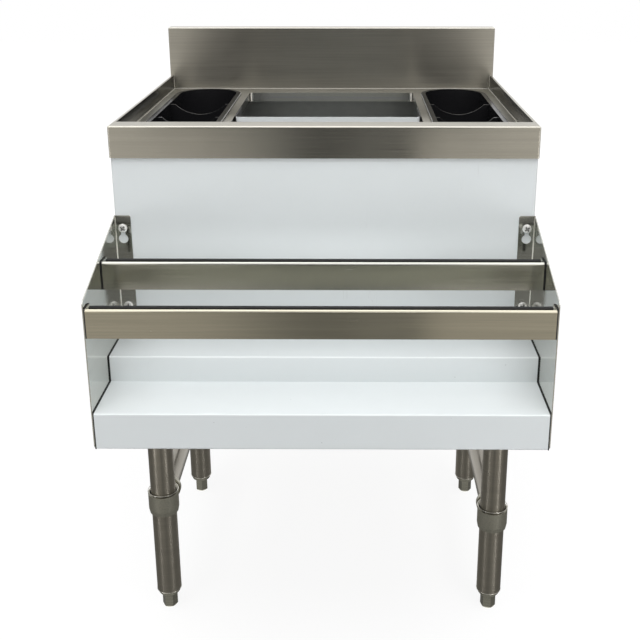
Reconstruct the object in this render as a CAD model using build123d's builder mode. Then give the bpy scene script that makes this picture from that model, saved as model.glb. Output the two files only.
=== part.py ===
"""Underbar ice bin with two drop-in bottle wells and a stepped, lift-off speed rail.

Millimetres. X runs along the bar, the bartender stands at -Y, +Z is up, and the
origin is on the floor under the middle of the whole object.
"""

import os
from math import radians, tan

from build123d import *

os.makedirs("parts", exist_ok=True)

# Cabinet envelope
width = 610.0
body_depth = 533.0
body_height = 400.0
rim_height = 860.0
sheet = 1.2
body_gap = 0.3
edge_band = 0.01

# Rim, deck and backsplash
apron_height = 46.0
rim_front_width = 33.0
rim_side_width = 6.0
rim_radius = 3.0
deck_drop = 25.0
deck_bend = 3.0
splash_rise = 89.0
splash_depth = 23.0
opening_side_land = 13.0
opening_front_land = 22.0
opening_rear_land = 50.0
opening_flange = 16.0
opening_corner = 6.0

# Outer panels
panel_setback = 4.0
panel_tuck = 16.0
panel_return = 13.0
panel_bend = 2.2
bottom_flange = 14.0

# Bottle wells
well_width = 119.0
well_length = 444.0
well_side_land = 22.0
well_rear_land = 19.0
well_lip = 6.0
well_lip_thickness = 3.0
well_lip_round = 1.8
well_wall = 2.6
well_depth = 212.0
well_draft = 1.8
well_floor_radius = 12.0
cutout_clearance = 1.0
partition = 3.0
partition_pitch = 124.5
partition_shoulder = 9.0
partition_sag = 17.5
well_drain = 10.0

# Ice liner, insulation and drain
liner_depth = 300.0
liner_margin = 4.0
liner_rear_margin = 1.0
liner_corner = 20.0
liner_flange = 12.0
foam_front = 18.2
drain_y = 165.0
drain_bore = 26.0
drain_shank = 36.0
drain_tail = 33.4
drain_flange_width = 76.0
drain_flange_thickness = 2.0
drain_drop = 45.0
drain_shank_end = 2.0
drain_clearance = 0.4
strainer_thickness = 1.5
strainer_diameter = 64.0
strainer_hole = 5.0
strainer_ring_diameter = 18.8
strainer_holes = 6
locknut_across = 46.0
locknut_height = 10.0
locknut_fit = 0.1

# Ice divider
divider_clearance = 0.6
divider_setback = 154.0
divider_reach = 95.0
divider_bend = 8.0
divider_notch = 14.0
divider_notch_pitch = 75.0
divider_toe = 12.0

# Speed rail
rail_reach = 195.0
rail_step = 100.0
bracket_gauge = 1.5
bracket_top = 131.0
bracket_nose = 190.0
bracket_flange = 24.0
bracket_corner = 6.0
bar_height = 39.8
bar_return = 12.0
bar_lip = 10.0
bar_bend = 3.4
bar_end_depth = 25.0
front_bar_drop = 200.0
mid_bar_drop = 169.5
lower_shelf_drop = 347.6
riser_height = 38.1
shelf_bend = 1.6
shelf_hem = 12.0
shelf_tail = 20.0
shelf_tail_drop = 15.0
shelf_upstand = 11.0
seal = 1.6
seal_width = 10.0
bumper_width = 7.0
bumper_height = 2.0
bumper_round = 0.8
bumper_offset = 4.4
bumper_inset = 4.5
rivet_diameter = 4.8
rivet_head = 9.0
rivet_head_height = 3.0
rivet_head_edge = 1.0
rivet_crown = 4.5
rivet_setback = 17.0
rivet_drop = 9.0

# Rail screws and keyholes
upper_screw_drop = 150.0
lower_screw_rise = 39.5
screw_inset = 12.0
screw_diameter = 6.0
screw_length = 16.0
screw_head = 12.3
screw_head_height = 3.6
screw_head_flank = 1.6
screw_crown = 7.6
screw_recess_width = 1.4
screw_recess_span = 6.4
screw_recess_depth = 1.8
screw_clearance = 0.3
keyhole_drop = 16.0
keyhole_diameter = 13.9
mount_strip_width = 22.0
mount_strip_gauge = 3.0
mount_strip_margin = 22.0

# Legs, sockets, collars, braces and feet
leg_inset = 28.0
leg_setback = 80.0
leg_diameter = 41.3
leg_wall = 1.5
leg_fit = 0.15
leg_bottom = 37.0
socket_height = 60.0
socket_cap = 5.0
socket_top_diameter = 52.0
socket_bottom_diameter = 48.0
socket_plate = 3.0
socket_plate_size = 78.0
socket_plate_corner = 8.0
socket_plate_shift = 12.5
socket_screw_rise = 12.0
collar_diameter = 50.4
collar_bore = 45.0
collar_grip = 0.35
collar_height = 36.0
collar_taper = 8.0
collar_toe = 47.3
left_collar_height = 208.0
right_collar_height = 179.0
brace_diameter = 31.8
brace_wall = 1.5
brace_fit = 0.2
brace_gap = 26.0
boss_diameter = 39.0
boss_reach = 46.0
boss_bead = 43.5
boss_bead_width = 8.0
set_screw = 6.0
insert_flange = 2.0
insert_depth = 28.0
insert_fit = 0.06
foot_thread = 16.0
foot_thread_length = 42.0
thread_fit = 0.08
foot_shoulder = 38.0
foot_hex = 22.6
foot_cone_height = 8.0
foot_hex_height = 23.0
foot_tip = 16.0
foot_gap = 0.3

# Places worked out from the sizes above
half_width = width / 2
overall_depth = body_depth + rail_reach
rail_front = -overall_depth / 2
rim_front = rail_front + rail_reach
body_back = overall_depth / 2
splash_front = body_back - splash_depth
splash_top = rim_height + splash_rise
deck_top = rim_height - deck_drop
deck_under = deck_top - sheet
apron_bottom = rim_height - apron_height
body_bottom = rim_height - body_height
pan_half = half_width - rim_side_width
well_x = half_width - well_side_land - well_width / 2
opening_width = 2 * (well_x - well_width / 2 - opening_side_land)
pan_front = rim_front + rim_front_width
opening_front = pan_front + opening_front_land
opening_back = splash_front - opening_rear_land
opening_length = opening_back - opening_front
opening_middle = (opening_front + opening_back) / 2
well_y = splash_front - well_rear_land - well_length / 2
cutout_width = well_width - 2 * well_lip + 2 * cutout_clearance
cutout_length = well_length - 2 * well_lip + 2 * cutout_clearance
panel_half = half_width - sheet
panel_front = rim_front + panel_setback
panel_inside = panel_front + sheet
panel_top = apron_bottom + panel_tuck
floor_half = panel_half - sheet - panel_bend
floor_under = body_bottom + sheet
floor_top = floor_under + sheet
liner_half = well_x + well_width / 2
liner_front = well_y - well_length / 2 - liner_margin
liner_back = well_y + well_length / 2 + liner_rear_margin
liner_floor = deck_top - liner_depth
bracket_back = panel_front - body_gap
bracket_face = bracket_back - bracket_gauge
bracket_inside = half_width - bracket_gauge
mid_front = rail_front + rail_step
bar_half = bracket_inside - seal
lower_shelf_top = rim_height - lower_shelf_drop
upper_shelf_top = lower_shelf_top + riser_height
screw_x = half_width - screw_inset
screw_heights = (rim_height - upper_screw_drop, upper_shelf_top + lower_screw_rise)
leg_x = half_width - leg_inset
leg_radius = leg_diameter / 2
leg_top = body_bottom - socket_cap
leg_inner_radius = leg_radius - leg_wall
front_leg_y = rim_front + leg_setback
rear_leg_y = body_back - leg_setback


def facing(y):
    """Vertical plane at depth y, seen from the front."""
    return Plane.XZ.offset(-y)


def draw_rectangle(left, right, low, high):
    """Adds a rectangle between two corners to the sketch that is open."""
    with Locations(((left + right) / 2, (low + high) / 2)):
        Rectangle(right - left, high - low)


# Deck: rim, turned-down apron and recessed pan with its three cut-outs
with BuildPart() as top_deck:
    with BuildSketch(Plane.XY.offset(apron_bottom)):
        draw_rectangle(-half_width, half_width, rim_front, splash_front)
    extrude(amount=apron_height)
    front_corners = top_deck.edges().filter_by(Axis.Z).group_by(Axis.Y)[0]
    fillet(front_corners, radius=rim_radius)
    rim_edges = top_deck.faces().sort_by(Axis.Z)[-1].edges().sort_by(Axis.Y)[:-1]
    fillet(rim_edges, radius=rim_radius)
    with BuildSketch(Plane.XY.offset(apron_bottom)) as hollow:
        draw_rectangle(-panel_half, panel_half, rim_front + sheet, splash_front)
        fillet(hollow.vertices().group_by(Axis.Y)[0], radius=rim_radius - sheet)
    extrude(amount=apron_height - sheet, mode=Mode.SUBTRACT)
    under_rim = top_deck.edges().filter_by_position(
        Axis.Z, rim_height - sheet - edge_band, rim_height - sheet + edge_band
    )
    fillet(under_rim.sort_by(Axis.Y)[:-1], radius=rim_radius - sheet)
    with BuildSketch(Plane.XY.offset(deck_under)):
        draw_rectangle(-pan_half - sheet, pan_half + sheet, pan_front - sheet, splash_front)
    extrude(amount=deck_drop)
    with BuildSketch(Plane.XY.offset(deck_top)):
        draw_rectangle(-pan_half, pan_half, pan_front, splash_front)
    extrude(amount=deck_drop, mode=Mode.SUBTRACT)
    pan_edges = top_deck.edges().filter_by_position(
        Axis.Z, deck_top - edge_band, deck_top + edge_band
    )
    fillet(pan_edges.sort_by(Axis.Y)[:-1], radius=deck_bend)
    with BuildSketch(Plane.XY.offset(deck_top)):
        with Locations((-well_x, well_y), (well_x, well_y)):
            SlotOverall(cutout_length, cutout_width, rotation=90)
        with Locations((0, opening_middle)):
            RectangleRounded(opening_width, opening_length, opening_corner)
    extrude(amount=-sheet, mode=Mode.SUBTRACT)
    with BuildSketch(Plane.XY.offset(deck_top - opening_flange)):
        with Locations((0, opening_middle)):
            RectangleRounded(
                opening_width + 2 * sheet, opening_length + 2 * sheet, opening_corner + sheet
            )
            RectangleRounded(
                opening_width, opening_length, opening_corner, mode=Mode.SUBTRACT
            )
    extrude(amount=opening_flange - sheet)
    with BuildSketch(Plane.XY.offset(apron_bottom)):
        draw_rectangle(-panel_half, panel_half, rim_front + sheet, panel_front)
    extrude(amount=sheet)
top_deck.part.label = "top_deck"
export_step(top_deck.part, "parts/top_deck.step")

# Backsplash: folded box, open underneath
with BuildPart() as backsplash:
    with BuildSketch(Plane.XY.offset(apron_bottom)):
        draw_rectangle(-half_width, half_width, splash_front, body_back)
    extrude(amount=splash_top - apron_bottom)
    fillet(backsplash.faces().sort_by(Axis.Z)[-1].edges(), radius=rim_radius)
    with BuildSketch(Plane.XY.offset(apron_bottom)):
        draw_rectangle(-panel_half, panel_half, splash_front + sheet, body_back - sheet)
    extrude(amount=splash_top - sheet - apron_bottom, mode=Mode.SUBTRACT)
    under_top = backsplash.edges().filter_by_position(
        Axis.Z, splash_top - sheet - edge_band, splash_top - sheet + edge_band
    )
    fillet(under_top, radius=rim_radius - sheet)
    with BuildSketch(Plane.XY.offset(apron_bottom)):
        draw_rectangle(-panel_half, panel_half, splash_front, splash_front + sheet)
    extrude(amount=deck_under - apron_bottom, mode=Mode.SUBTRACT)
backsplash.part.label = "backsplash"
export_step(backsplash.part, "parts/backsplash.step")

# Front panel: wraps round both front corners and carries the rail's four screws
with BuildPart() as front_panel:
    with BuildSketch(Plane.XY.offset(body_bottom)):
        with BuildLine():
            FilletPolyline(
                (-panel_half + sheet / 2, panel_front + panel_return),
                (-panel_half + sheet / 2, panel_front + sheet / 2),
                (panel_half - sheet / 2, panel_front + sheet / 2),
                (panel_half - sheet / 2, panel_front + panel_return),
                radius=panel_bend,
            )
        trace(line_width=sheet)
    extrude(amount=panel_top - body_bottom)
    with BuildSketch(facing(panel_front)):
        with Locations(*[(x, z) for x in (-screw_x, screw_x) for z in screw_heights]):
            Circle(screw_diameter / 2 + screw_clearance)
    extrude(amount=-sheet, mode=Mode.SUBTRACT)
front_panel.part.label = "front_panel"
export_step(front_panel.part, "parts/front_panel.step")

# Side panels: each has a flange turned in under the floor
for side, sign in (("left", -1), ("right", 1)):
    with BuildPart() as side_panel:
        with BuildSketch(facing(body_back - sheet)):
            with BuildLine():
                FilletPolyline(
                    (sign * (panel_half - sheet / 2), panel_top),
                    (sign * (panel_half - sheet / 2), body_bottom + sheet / 2),
                    (sign * (panel_half - bottom_flange), body_bottom + sheet / 2),
                    radius=panel_bend,
                )
            trace(line_width=sheet)
        extrude(amount=body_back - sheet - panel_front - panel_return)
    side_panel.part.label = f"{side}_side_panel"
    export_step(side_panel.part, f"parts/{side}_side_panel.step")

# Back panel
with BuildPart() as back_panel:
    with BuildSketch(facing(body_back)):
        draw_rectangle(-panel_half, panel_half, body_bottom, apron_bottom)
    extrude(amount=sheet)
    fillet(back_panel.edges().filter_by(Axis.Y).group_by(Axis.Z)[0], radius=panel_bend)
back_panel.part.label = "back_panel"
export_step(back_panel.part, "parts/back_panel.step")

# Bottom panel: lies on the side panels' flanges
with BuildPart() as bottom_panel:
    with BuildSketch(Plane.XY.offset(floor_under)):
        draw_rectangle(-floor_half, floor_half, panel_inside, body_back - sheet)
        with Locations((0, drain_y)):
            Circle(drain_shank / 2 + drain_clearance, mode=Mode.SUBTRACT)
    extrude(amount=sheet)
bottom_panel.part.label = "bottom_panel"
export_step(bottom_panel.part, "parts/bottom_panel.step")

# Ice liner: one coved tub that hangs from its flange under the deck
liner_top = deck_under
with BuildPart() as ice_liner:
    with BuildSketch(Plane.XY.offset(liner_floor - sheet)):
        with Locations((0, (liner_front + liner_back) / 2)):
            RectangleRounded(
                2 * (liner_half + sheet), liner_back - liner_front + 2 * sheet, liner_corner
            )
    extrude(amount=liner_top - liner_floor + sheet)
    fillet(ice_liner.faces().sort_by(Axis.Z)[0].edges(), radius=liner_corner - sheet)
    offset(amount=-sheet, openings=ice_liner.faces().sort_by(Axis.Z)[-1])
    with BuildSketch(Plane.XY.offset(liner_top - sheet)):
        with Locations((0, (liner_front + liner_back) / 2)):
            RectangleRounded(
                2 * (liner_half + sheet + liner_flange),
                liner_back - liner_front + 2 * (sheet + liner_flange),
                liner_corner,
            )
            RectangleRounded(
                2 * liner_half + sheet,
                liner_back - liner_front + sheet,
                liner_corner - sheet / 2,
                mode=Mode.SUBTRACT,
            )
    extrude(amount=sheet)
    with BuildSketch(Plane.XY.offset(liner_floor)):
        with Locations((0, drain_y)):
            Circle(drain_shank / 2 + drain_clearance)
    extrude(amount=-sheet, mode=Mode.SUBTRACT)
ice_liner.part.label = "ice_liner"
export_step(ice_liner.part, "parts/ice_liner.step")

# Foamed insulation between the liner and the outer panels
with BuildPart() as foam_insulation:
    with BuildSketch(Plane.XY.offset(floor_top)):
        draw_rectangle(
            sheet - panel_half, panel_half - sheet, rim_front + foam_front, body_back - sheet
        )
        with Locations((0, drain_y)):
            Circle(drain_shank / 2 + drain_clearance, mode=Mode.SUBTRACT)
    extrude(amount=liner_top - sheet - floor_top)
    lower_sides = foam_insulation.faces().sort_by(Axis.Z)[0].edges().filter_by(Axis.Y)
    chamfer(lower_sides, length=panel_bend)
    with BuildSketch(Plane.XY.offset(liner_floor - sheet)):
        draw_rectangle(
            -liner_half - sheet, liner_half + sheet, liner_front - sheet, liner_back + sheet
        )
    extrude(amount=liner_top - liner_floor, mode=Mode.SUBTRACT)
foam_insulation.part.label = "foam_insulation"
export_step(foam_insulation.part, "parts/foam_insulation.step")

# Drain: flanged shank through both floors with a plain tailpiece, strainer disc and locknut
drain_axis = Axis((0, drain_y, 0), (0, 0, 1))
tail_top = floor_under - locknut_height - drain_shank_end
with BuildPart() as drain_flange:
    with BuildSketch(facing(drain_y)):
        with BuildLine():
            Polyline(
                (drain_bore / 2, body_bottom - drain_drop),
                (drain_tail / 2, body_bottom - drain_drop),
                (drain_tail / 2, tail_top),
                (drain_shank / 2, tail_top),
                (drain_shank / 2, liner_floor),
                (drain_flange_width / 2, liner_floor),
                (strainer_diameter / 2, liner_floor + drain_flange_thickness),
                (drain_bore / 2, liner_floor + drain_flange_thickness),
                close=True,
            )
        make_face()
    revolve(axis=drain_axis)
drain_flange.part.label = "drain_flange"
export_step(drain_flange.part, "parts/drain_flange.step")

with BuildPart() as drain_strainer:
    strainer_base = liner_floor + drain_flange_thickness
    with BuildSketch(Plane.XY.offset(strainer_base)):
        with Locations((0, drain_y)):
            Circle(strainer_diameter / 2)
        with Locations((0, drain_y)):
            with PolarLocations(strainer_ring_diameter / 2, strainer_holes):
                Circle(strainer_hole / 2, mode=Mode.SUBTRACT)
    extrude(amount=strainer_thickness)
drain_strainer.part.label = "drain_strainer"
export_step(drain_strainer.part, "parts/drain_strainer.step")

with BuildPart() as drain_locknut:
    with BuildSketch(Plane.XY.offset(floor_under)):
        with Locations((0, drain_y)):
            RegularPolygon(locknut_across / 2, 6, major_radius=False)
            Circle(drain_shank / 2 + locknut_fit, mode=Mode.SUBTRACT)
    extrude(amount=-locknut_height)
drain_locknut.part.label = "drain_locknut"
export_step(drain_locknut.part, "parts/drain_locknut.step")

# Tapped strips behind the front panel, one for each pair of rail screws
for side, sign in (("left", -1), ("right", 1)):
    with BuildPart() as mount_strip:
        with BuildSketch(facing(panel_inside)):
            with Locations((sign * (screw_x - panel_bend), sum(screw_heights) / 2)):
                Rectangle(
                    mount_strip_width - 2 * panel_bend,
                    screw_heights[0] - screw_heights[1] + 2 * mount_strip_margin,
                )
            with Locations(*[(sign * screw_x, z) for z in screw_heights]):
                Circle(screw_diameter / 2 + thread_fit, mode=Mode.SUBTRACT)
        extrude(amount=-mount_strip_gauge)
    mount_strip.part.label = f"{side}_mount_strip"
    export_step(mount_strip.part, f"parts/{side}_mount_strip.step")

# Rail screws: pan heads with a cross recess, standing just clear of the rail's flange
screw_seat = bracket_face - body_gap
with BuildPart() as rail_screws:
    for x in (-screw_x, screw_x):
        for z in screw_heights:
            with BuildSketch(Plane.YZ.offset(x)):
                with BuildLine():
                    Polyline(
                        (screw_seat + screw_length, z),
                        (screw_seat + screw_length, z + screw_diameter / 2),
                        (screw_seat, z + screw_diameter / 2),
                        (screw_seat, z + screw_head / 2),
                        (screw_seat - screw_head_flank, z + screw_head / 2),
                        (screw_seat - screw_head_height, z + screw_crown / 2),
                        (screw_seat - screw_head_height, z),
                        close=True,
                    )
                make_face()
            revolve(axis=Axis((x, 0, z), (0, 1, 0)))
    with BuildSketch(facing(screw_seat - screw_head_height)):
        with Locations(*[(x, z) for x in (-screw_x, screw_x) for z in screw_heights]):
            Rectangle(screw_recess_width, screw_recess_span, rotation=45)
            Rectangle(screw_recess_span, screw_recess_width, rotation=45)
    extrude(amount=-screw_recess_depth, mode=Mode.SUBTRACT)
rail_screws.part.label = "rail_screws"
export_step(rail_screws.part, "parts/rail_screws.step")

# Four legs, each with its welded socket, braced collar, bottom insert and foot
corners = {
    "front_left": (-1, front_leg_y, 1, left_collar_height),
    "front_right": (1, front_leg_y, 1, right_collar_height),
    "rear_left": (-1, rear_leg_y, -1, left_collar_height),
    "rear_right": (1, rear_leg_y, -1, right_collar_height),
}
insert_radius = leg_inner_radius - insert_fit
insert_bottom = leg_bottom - insert_flange
foot_top = insert_bottom - foot_gap

for corner, (sign, leg_y, inward, collar_z) in corners.items():
    x = sign * leg_x
    upright = Axis((x, leg_y, 0), (0, 0, 1))

    with BuildPart() as socket:
        with BuildSketch(Plane.XY.offset(body_bottom - socket_plate)):
            with Locations((x - sign * socket_plate_shift, leg_y)):
                RectangleRounded(socket_plate_size, socket_plate_size, socket_plate_corner)
        extrude(amount=socket_plate)
        with Locations((x, leg_y, body_bottom - socket_height / 2)):
            Cone(socket_bottom_diameter / 2, socket_top_diameter / 2, socket_height)
        with BuildSketch(Plane.XY.offset(body_bottom - socket_height)):
            with Locations((x, leg_y)):
                Circle(leg_radius + leg_fit)
        extrude(amount=socket_height - socket_cap, mode=Mode.SUBTRACT)
        with BuildSketch(Plane.YZ.offset(x)):
            with Locations((leg_y, body_bottom - socket_height + socket_screw_rise)):
                Circle(set_screw / 2 + thread_fit)
        extrude(amount=sign * socket_top_diameter / 2, mode=Mode.SUBTRACT)
    socket.part.label = f"{corner}_leg_socket"
    export_step(socket.part, f"parts/{corner}_leg_socket.step")

    with BuildPart() as leg:
        with BuildSketch(Plane.XY.offset(leg_bottom)):
            with Locations((x, leg_y)):
                Circle(leg_radius)
                Circle(leg_inner_radius, mode=Mode.SUBTRACT)
        extrude(amount=leg_top - leg_bottom)
    leg.part.label = f"{corner}_leg"
    export_step(leg.part, f"parts/{corner}_leg.step")

    ring_low = collar_z - collar_height / 2
    ring_high = collar_z + collar_height / 2
    with BuildPart() as collar:
        with BuildSketch(facing(leg_y)):
            with BuildLine():
                Polyline(
                    (x, ring_low),
                    (x + collar_toe / 2, ring_low),
                    (x + collar_diameter / 2, ring_low + collar_taper),
                    (x + collar_diameter / 2, ring_high),
                    (x, ring_high),
                    close=True,
                )
            make_face()
        revolve(axis=upright)
        with BuildSketch(facing(leg_y)):
            with Locations((x, collar_z)):
                Circle(boss_diameter / 2)
        extrude(amount=-inward * boss_reach)
        with BuildSketch(facing(leg_y + inward * boss_reach)):
            with Locations((x, collar_z)):
                Circle(boss_bead / 2)
        extrude(amount=inward * boss_bead_width)
        with BuildSketch(facing(leg_y + inward * boss_reach)):
            with Locations((x, collar_z)):
                Circle(brace_diameter / 2 + brace_fit)
        extrude(amount=inward * (boss_reach - brace_gap), mode=Mode.SUBTRACT)
        with BuildSketch(Plane.XY.offset(ring_low)):
            with Locations((x, leg_y)):
                Circle(leg_radius + collar_grip)
        extrude(amount=collar_taper, mode=Mode.SUBTRACT)
        with BuildSketch(Plane.XY.offset(ring_low - boss_diameter)):
            with Locations((x, leg_y)):
                Circle(leg_radius + collar_grip)
        extrude(amount=boss_diameter, mode=Mode.SUBTRACT)
        with BuildSketch(Plane.XY.offset(ring_low + collar_taper)):
            with Locations((x, leg_y)):
                Circle(collar_bore / 2)
        extrude(amount=boss_diameter, mode=Mode.SUBTRACT)
        with BuildSketch(Plane.YZ.offset(x)):
            with Locations((leg_y, collar_z)):
                Circle(set_screw / 2 + thread_fit)
        extrude(amount=sign * collar_diameter / 2, mode=Mode.SUBTRACT)
    collar.part.label = f"{corner}_collar"
    export_step(collar.part, f"parts/{corner}_collar.step")

    with BuildPart() as insert:
        with BuildSketch(facing(leg_y)):
            with BuildLine():
                Polyline(
                    (x + foot_thread / 2 + thread_fit, insert_bottom),
                    (x + leg_radius - insert_flange / 2, insert_bottom),
                    (x + leg_radius, insert_bottom + insert_flange / 2),
                    (x + leg_radius, leg_bottom),
                    (x + insert_radius, leg_bottom),
                    (x + insert_radius, leg_bottom + insert_depth),
                    (x + foot_thread / 2 + thread_fit, leg_bottom + insert_depth),
                    close=True,
                )
            make_face()
        revolve(axis=upright)
    insert.part.label = f"{corner}_leg_insert"
    export_step(insert.part, f"parts/{corner}_leg_insert.step")

    with BuildPart() as foot:
        with BuildSketch(facing(leg_y)):
            with BuildLine():
                Polyline(
                    (x, foot_top - foot_cone_height - foot_hex_height / 2),
                    (x + foot_hex / 2, foot_top - foot_cone_height - foot_hex_height / 2),
                    (x + foot_hex / 2, foot_top - foot_cone_height),
                    (x + foot_shoulder / 2, foot_top),
                    (x + foot_thread / 2, foot_top),
                    (x + foot_thread / 2, foot_top + foot_thread_length),
                    (x, foot_top + foot_thread_length),
                    close=True,
                )
            make_face()
        revolve(axis=upright)
        with BuildSketch(Plane.XY.offset(foot_top - foot_cone_height - foot_hex_height)):
            with Locations((x, leg_y)):
                RegularPolygon(foot_hex / 2, 6, major_radius=False)
        extrude(amount=foot_hex_height)
        with BuildSketch(Plane.XY.offset(0)) as tip:
            with Locations((x, leg_y)):
                Circle(foot_tip / 2)
        with BuildSketch(Plane.XY.offset(foot_top - foot_cone_height - foot_hex_height)):
            with Locations((x, leg_y)):
                Circle(foot_hex / 2)
        loft()
    foot.part.label = f"{corner}_foot"
    export_step(foot.part, f"parts/{corner}_foot.step")

# Braces: one tube on each side from the front collar to the rear collar
for side, sign, brace_z in (
    ("left", -1, left_collar_height),
    ("right", 1, right_collar_height),
):
    with BuildPart() as brace:
        with BuildSketch(facing(rear_leg_y - brace_gap)):
            with Locations((sign * leg_x, brace_z)):
                Circle(brace_diameter / 2)
                Circle(brace_diameter / 2 - brace_wall, mode=Mode.SUBTRACT)
        extrude(amount=rear_leg_y - front_leg_y - 2 * brace_gap)
    brace.part.label = f"{side}_brace"
    export_step(brace.part, f"parts/{side}_brace.step")

# Set screws: one in each socket and one in each collar, both on the outer side
with BuildPart() as leg_set_screws:
    for sign, leg_y, inward, collar_z in corners.values():
        x = sign * (leg_x + leg_radius)
        for z, outer in (
            (body_bottom - socket_height + socket_screw_rise, socket_bottom_diameter / 2),
            (collar_z, collar_diameter / 2),
        ):
            with BuildSketch(Plane.YZ.offset(x)):
                with Locations((leg_y, z)):
                    Circle(set_screw / 2)
            extrude(amount=sign * (outer - leg_radius))
leg_set_screws.part.label = "leg_set_screws"
export_step(leg_set_screws.part, "parts/leg_set_screws.step")

# Rail brackets: sloping side plate with a keyholed flange along the back
rail_bottom = body_bottom
bars = {
    "front_bar": (rail_front, rim_height - front_bar_drop),
    "mid_bar": (mid_front, rim_height - mid_bar_drop),
}
for side, sign in (("left", -1), ("right", 1)):
    with BuildPart() as bracket:
        with BuildSketch(Plane.YZ.offset(sign * half_width)) as plate:
            with BuildLine():
                Polyline(
                    (bracket_back, rail_bottom),
                    (bracket_back, rim_height - bracket_top),
                    (rail_front, rim_height - bracket_nose),
                    (rail_front, rail_bottom),
                    close=True,
                )
            make_face()
            fillet(plate.vertices().group_by(Axis.X)[0], radius=bracket_corner)
            for bar_front, bar_top in bars.values():
                with Locations((bar_front + rivet_setback, bar_top - rivet_drop)):
                    Circle(rivet_diameter / 2 + thread_fit, mode=Mode.SUBTRACT)
        extrude(amount=-sign * bracket_gauge)
        with BuildSketch(facing(bracket_back)) as flange:
            draw_rectangle(
                min(sign * half_width, sign * (half_width - bracket_flange)),
                max(sign * half_width, sign * (half_width - bracket_flange)),
                rail_bottom,
                rim_height - bracket_top,
            )
            if sign < 0:
                free_edge = flange.vertices().group_by(Axis.X)[-1]
            else:
                free_edge = flange.vertices().group_by(Axis.X)[0]
            fillet(free_edge, radius=2 * bracket_gauge)
            for z in screw_heights:
                with Locations((sign * screw_x, z - keyhole_drop)):
                    Circle(keyhole_diameter / 2, mode=Mode.SUBTRACT)
                with Locations((sign * screw_x, z - keyhole_drop / 2)):
                    SlotCenterToCenter(
                        keyhole_drop,
                        screw_diameter + 2 * screw_clearance,
                        rotation=90,
                        mode=Mode.SUBTRACT,
                    )
        extrude(amount=bracket_gauge)
        back_corner = bracket.edges().filter_by(Axis.Z).filter_by_position(
            Axis.Y, bracket_back - edge_band, bracket_back + edge_band
        )
        if sign < 0:
            fillet(back_corner.sort_by(Axis.X)[0], radius=bracket_gauge)
        else:
            fillet(back_corner.sort_by(Axis.X)[-1], radius=bracket_gauge)
    bracket.part.label = f"{side}_rail_bracket"
    export_step(bracket.part, f"parts/{side}_rail_bracket.step")

# Bars: rolled top edge, short return with a lip, and an ear turned back at each end
for name, (bar_front, bar_top) in bars.items():
    ear_back = bar_front + bar_end_depth
    with BuildPart() as bar:
        with BuildSketch(Plane.YZ.offset(-bar_half)):
            with BuildLine():
                FilletPolyline(
                    (bar_front + sheet / 2, bar_top - bar_height),
                    (bar_front + sheet / 2, bar_top - sheet / 2),
                    (bar_front + bar_return - sheet / 2, bar_top - sheet / 2),
                    (bar_front + bar_return - sheet / 2, bar_top - bar_lip),
                    radius=bar_bend,
                )
            trace(line_width=sheet)
        extrude(amount=2 * bar_half)
        for sign in (-1, 1):
            with BuildSketch(Plane.YZ.offset(sign * bar_half)) as ear:
                draw_rectangle(bar_front, ear_back, bar_top - bar_height, bar_top)
                fillet(ear.vertices().group_by(Axis.X)[-1], radius=bar_bend)
                fillet(
                    ear.vertices().group_by(Axis.X)[0].sort_by(Axis.Y)[-1],
                    radius=bar_bend + sheet / 2,
                )
                with Locations((bar_front + rivet_setback, bar_top - rivet_drop)):
                    Circle(rivet_diameter / 2 + thread_fit, mode=Mode.SUBTRACT)
            extrude(amount=-sign * sheet)
    bar.part.label = name
    export_step(bar.part, f"parts/{name}.step")

    with BuildPart() as bumper:
        with BuildSketch(Plane.YZ.offset(bumper_inset - bar_half)):
            draw_rectangle(
                bar_front + bumper_offset,
                bar_front + bumper_offset + bumper_width,
                bar_top,
                bar_top + bumper_height,
            )
        extrude(amount=2 * (bar_half - bumper_inset))
        top_edges = bumper.faces().sort_by(Axis.Z)[-1].edges().filter_by(Axis.X)
        fillet(top_edges, radius=bumper_round)
    bumper.part.label = f"{name}_bumper"
    export_step(bumper.part, f"parts/{name}_bumper.step")

# Shelves: white folded sheets, the upper one standing on the lower one by its riser
upper_back = bracket_face


def draw_end_strip(front, back, low, high):
    """Adds the band that runs along a shelf's end: under its top and down its front."""
    draw_rectangle(front, back, high - seal_width, high)
    draw_rectangle(front, front + seal_width, low, high - seal_width)


with BuildPart() as lower_shelf:
    with BuildSketch(Plane.YZ.offset(-bar_half)):
        with BuildLine():
            FilletPolyline(
                (rail_front + shelf_hem, rail_bottom + sheet / 2),
                (rail_front + sheet / 2, rail_bottom + sheet / 2),
                (rail_front + sheet / 2, lower_shelf_top - sheet / 2),
                (mid_front + shelf_tail - sheet / 2, lower_shelf_top - sheet / 2),
                (mid_front + shelf_tail - sheet / 2, lower_shelf_top - shelf_tail_drop),
                radius=shelf_bend,
            )
        trace(line_width=sheet)
    extrude(amount=2 * bar_half)
    for sign in (-1, 1):
        with BuildSketch(Plane.YZ.offset(sign * bar_half)):
            draw_end_strip(
                rail_front + sheet, mid_front + shelf_tail - sheet, rail_bottom + sheet,
                lower_shelf_top - sheet,
            )
        extrude(amount=-sign * sheet)
lower_shelf.part.label = "lower_shelf"
export_step(lower_shelf.part, "parts/lower_shelf.step")

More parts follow.
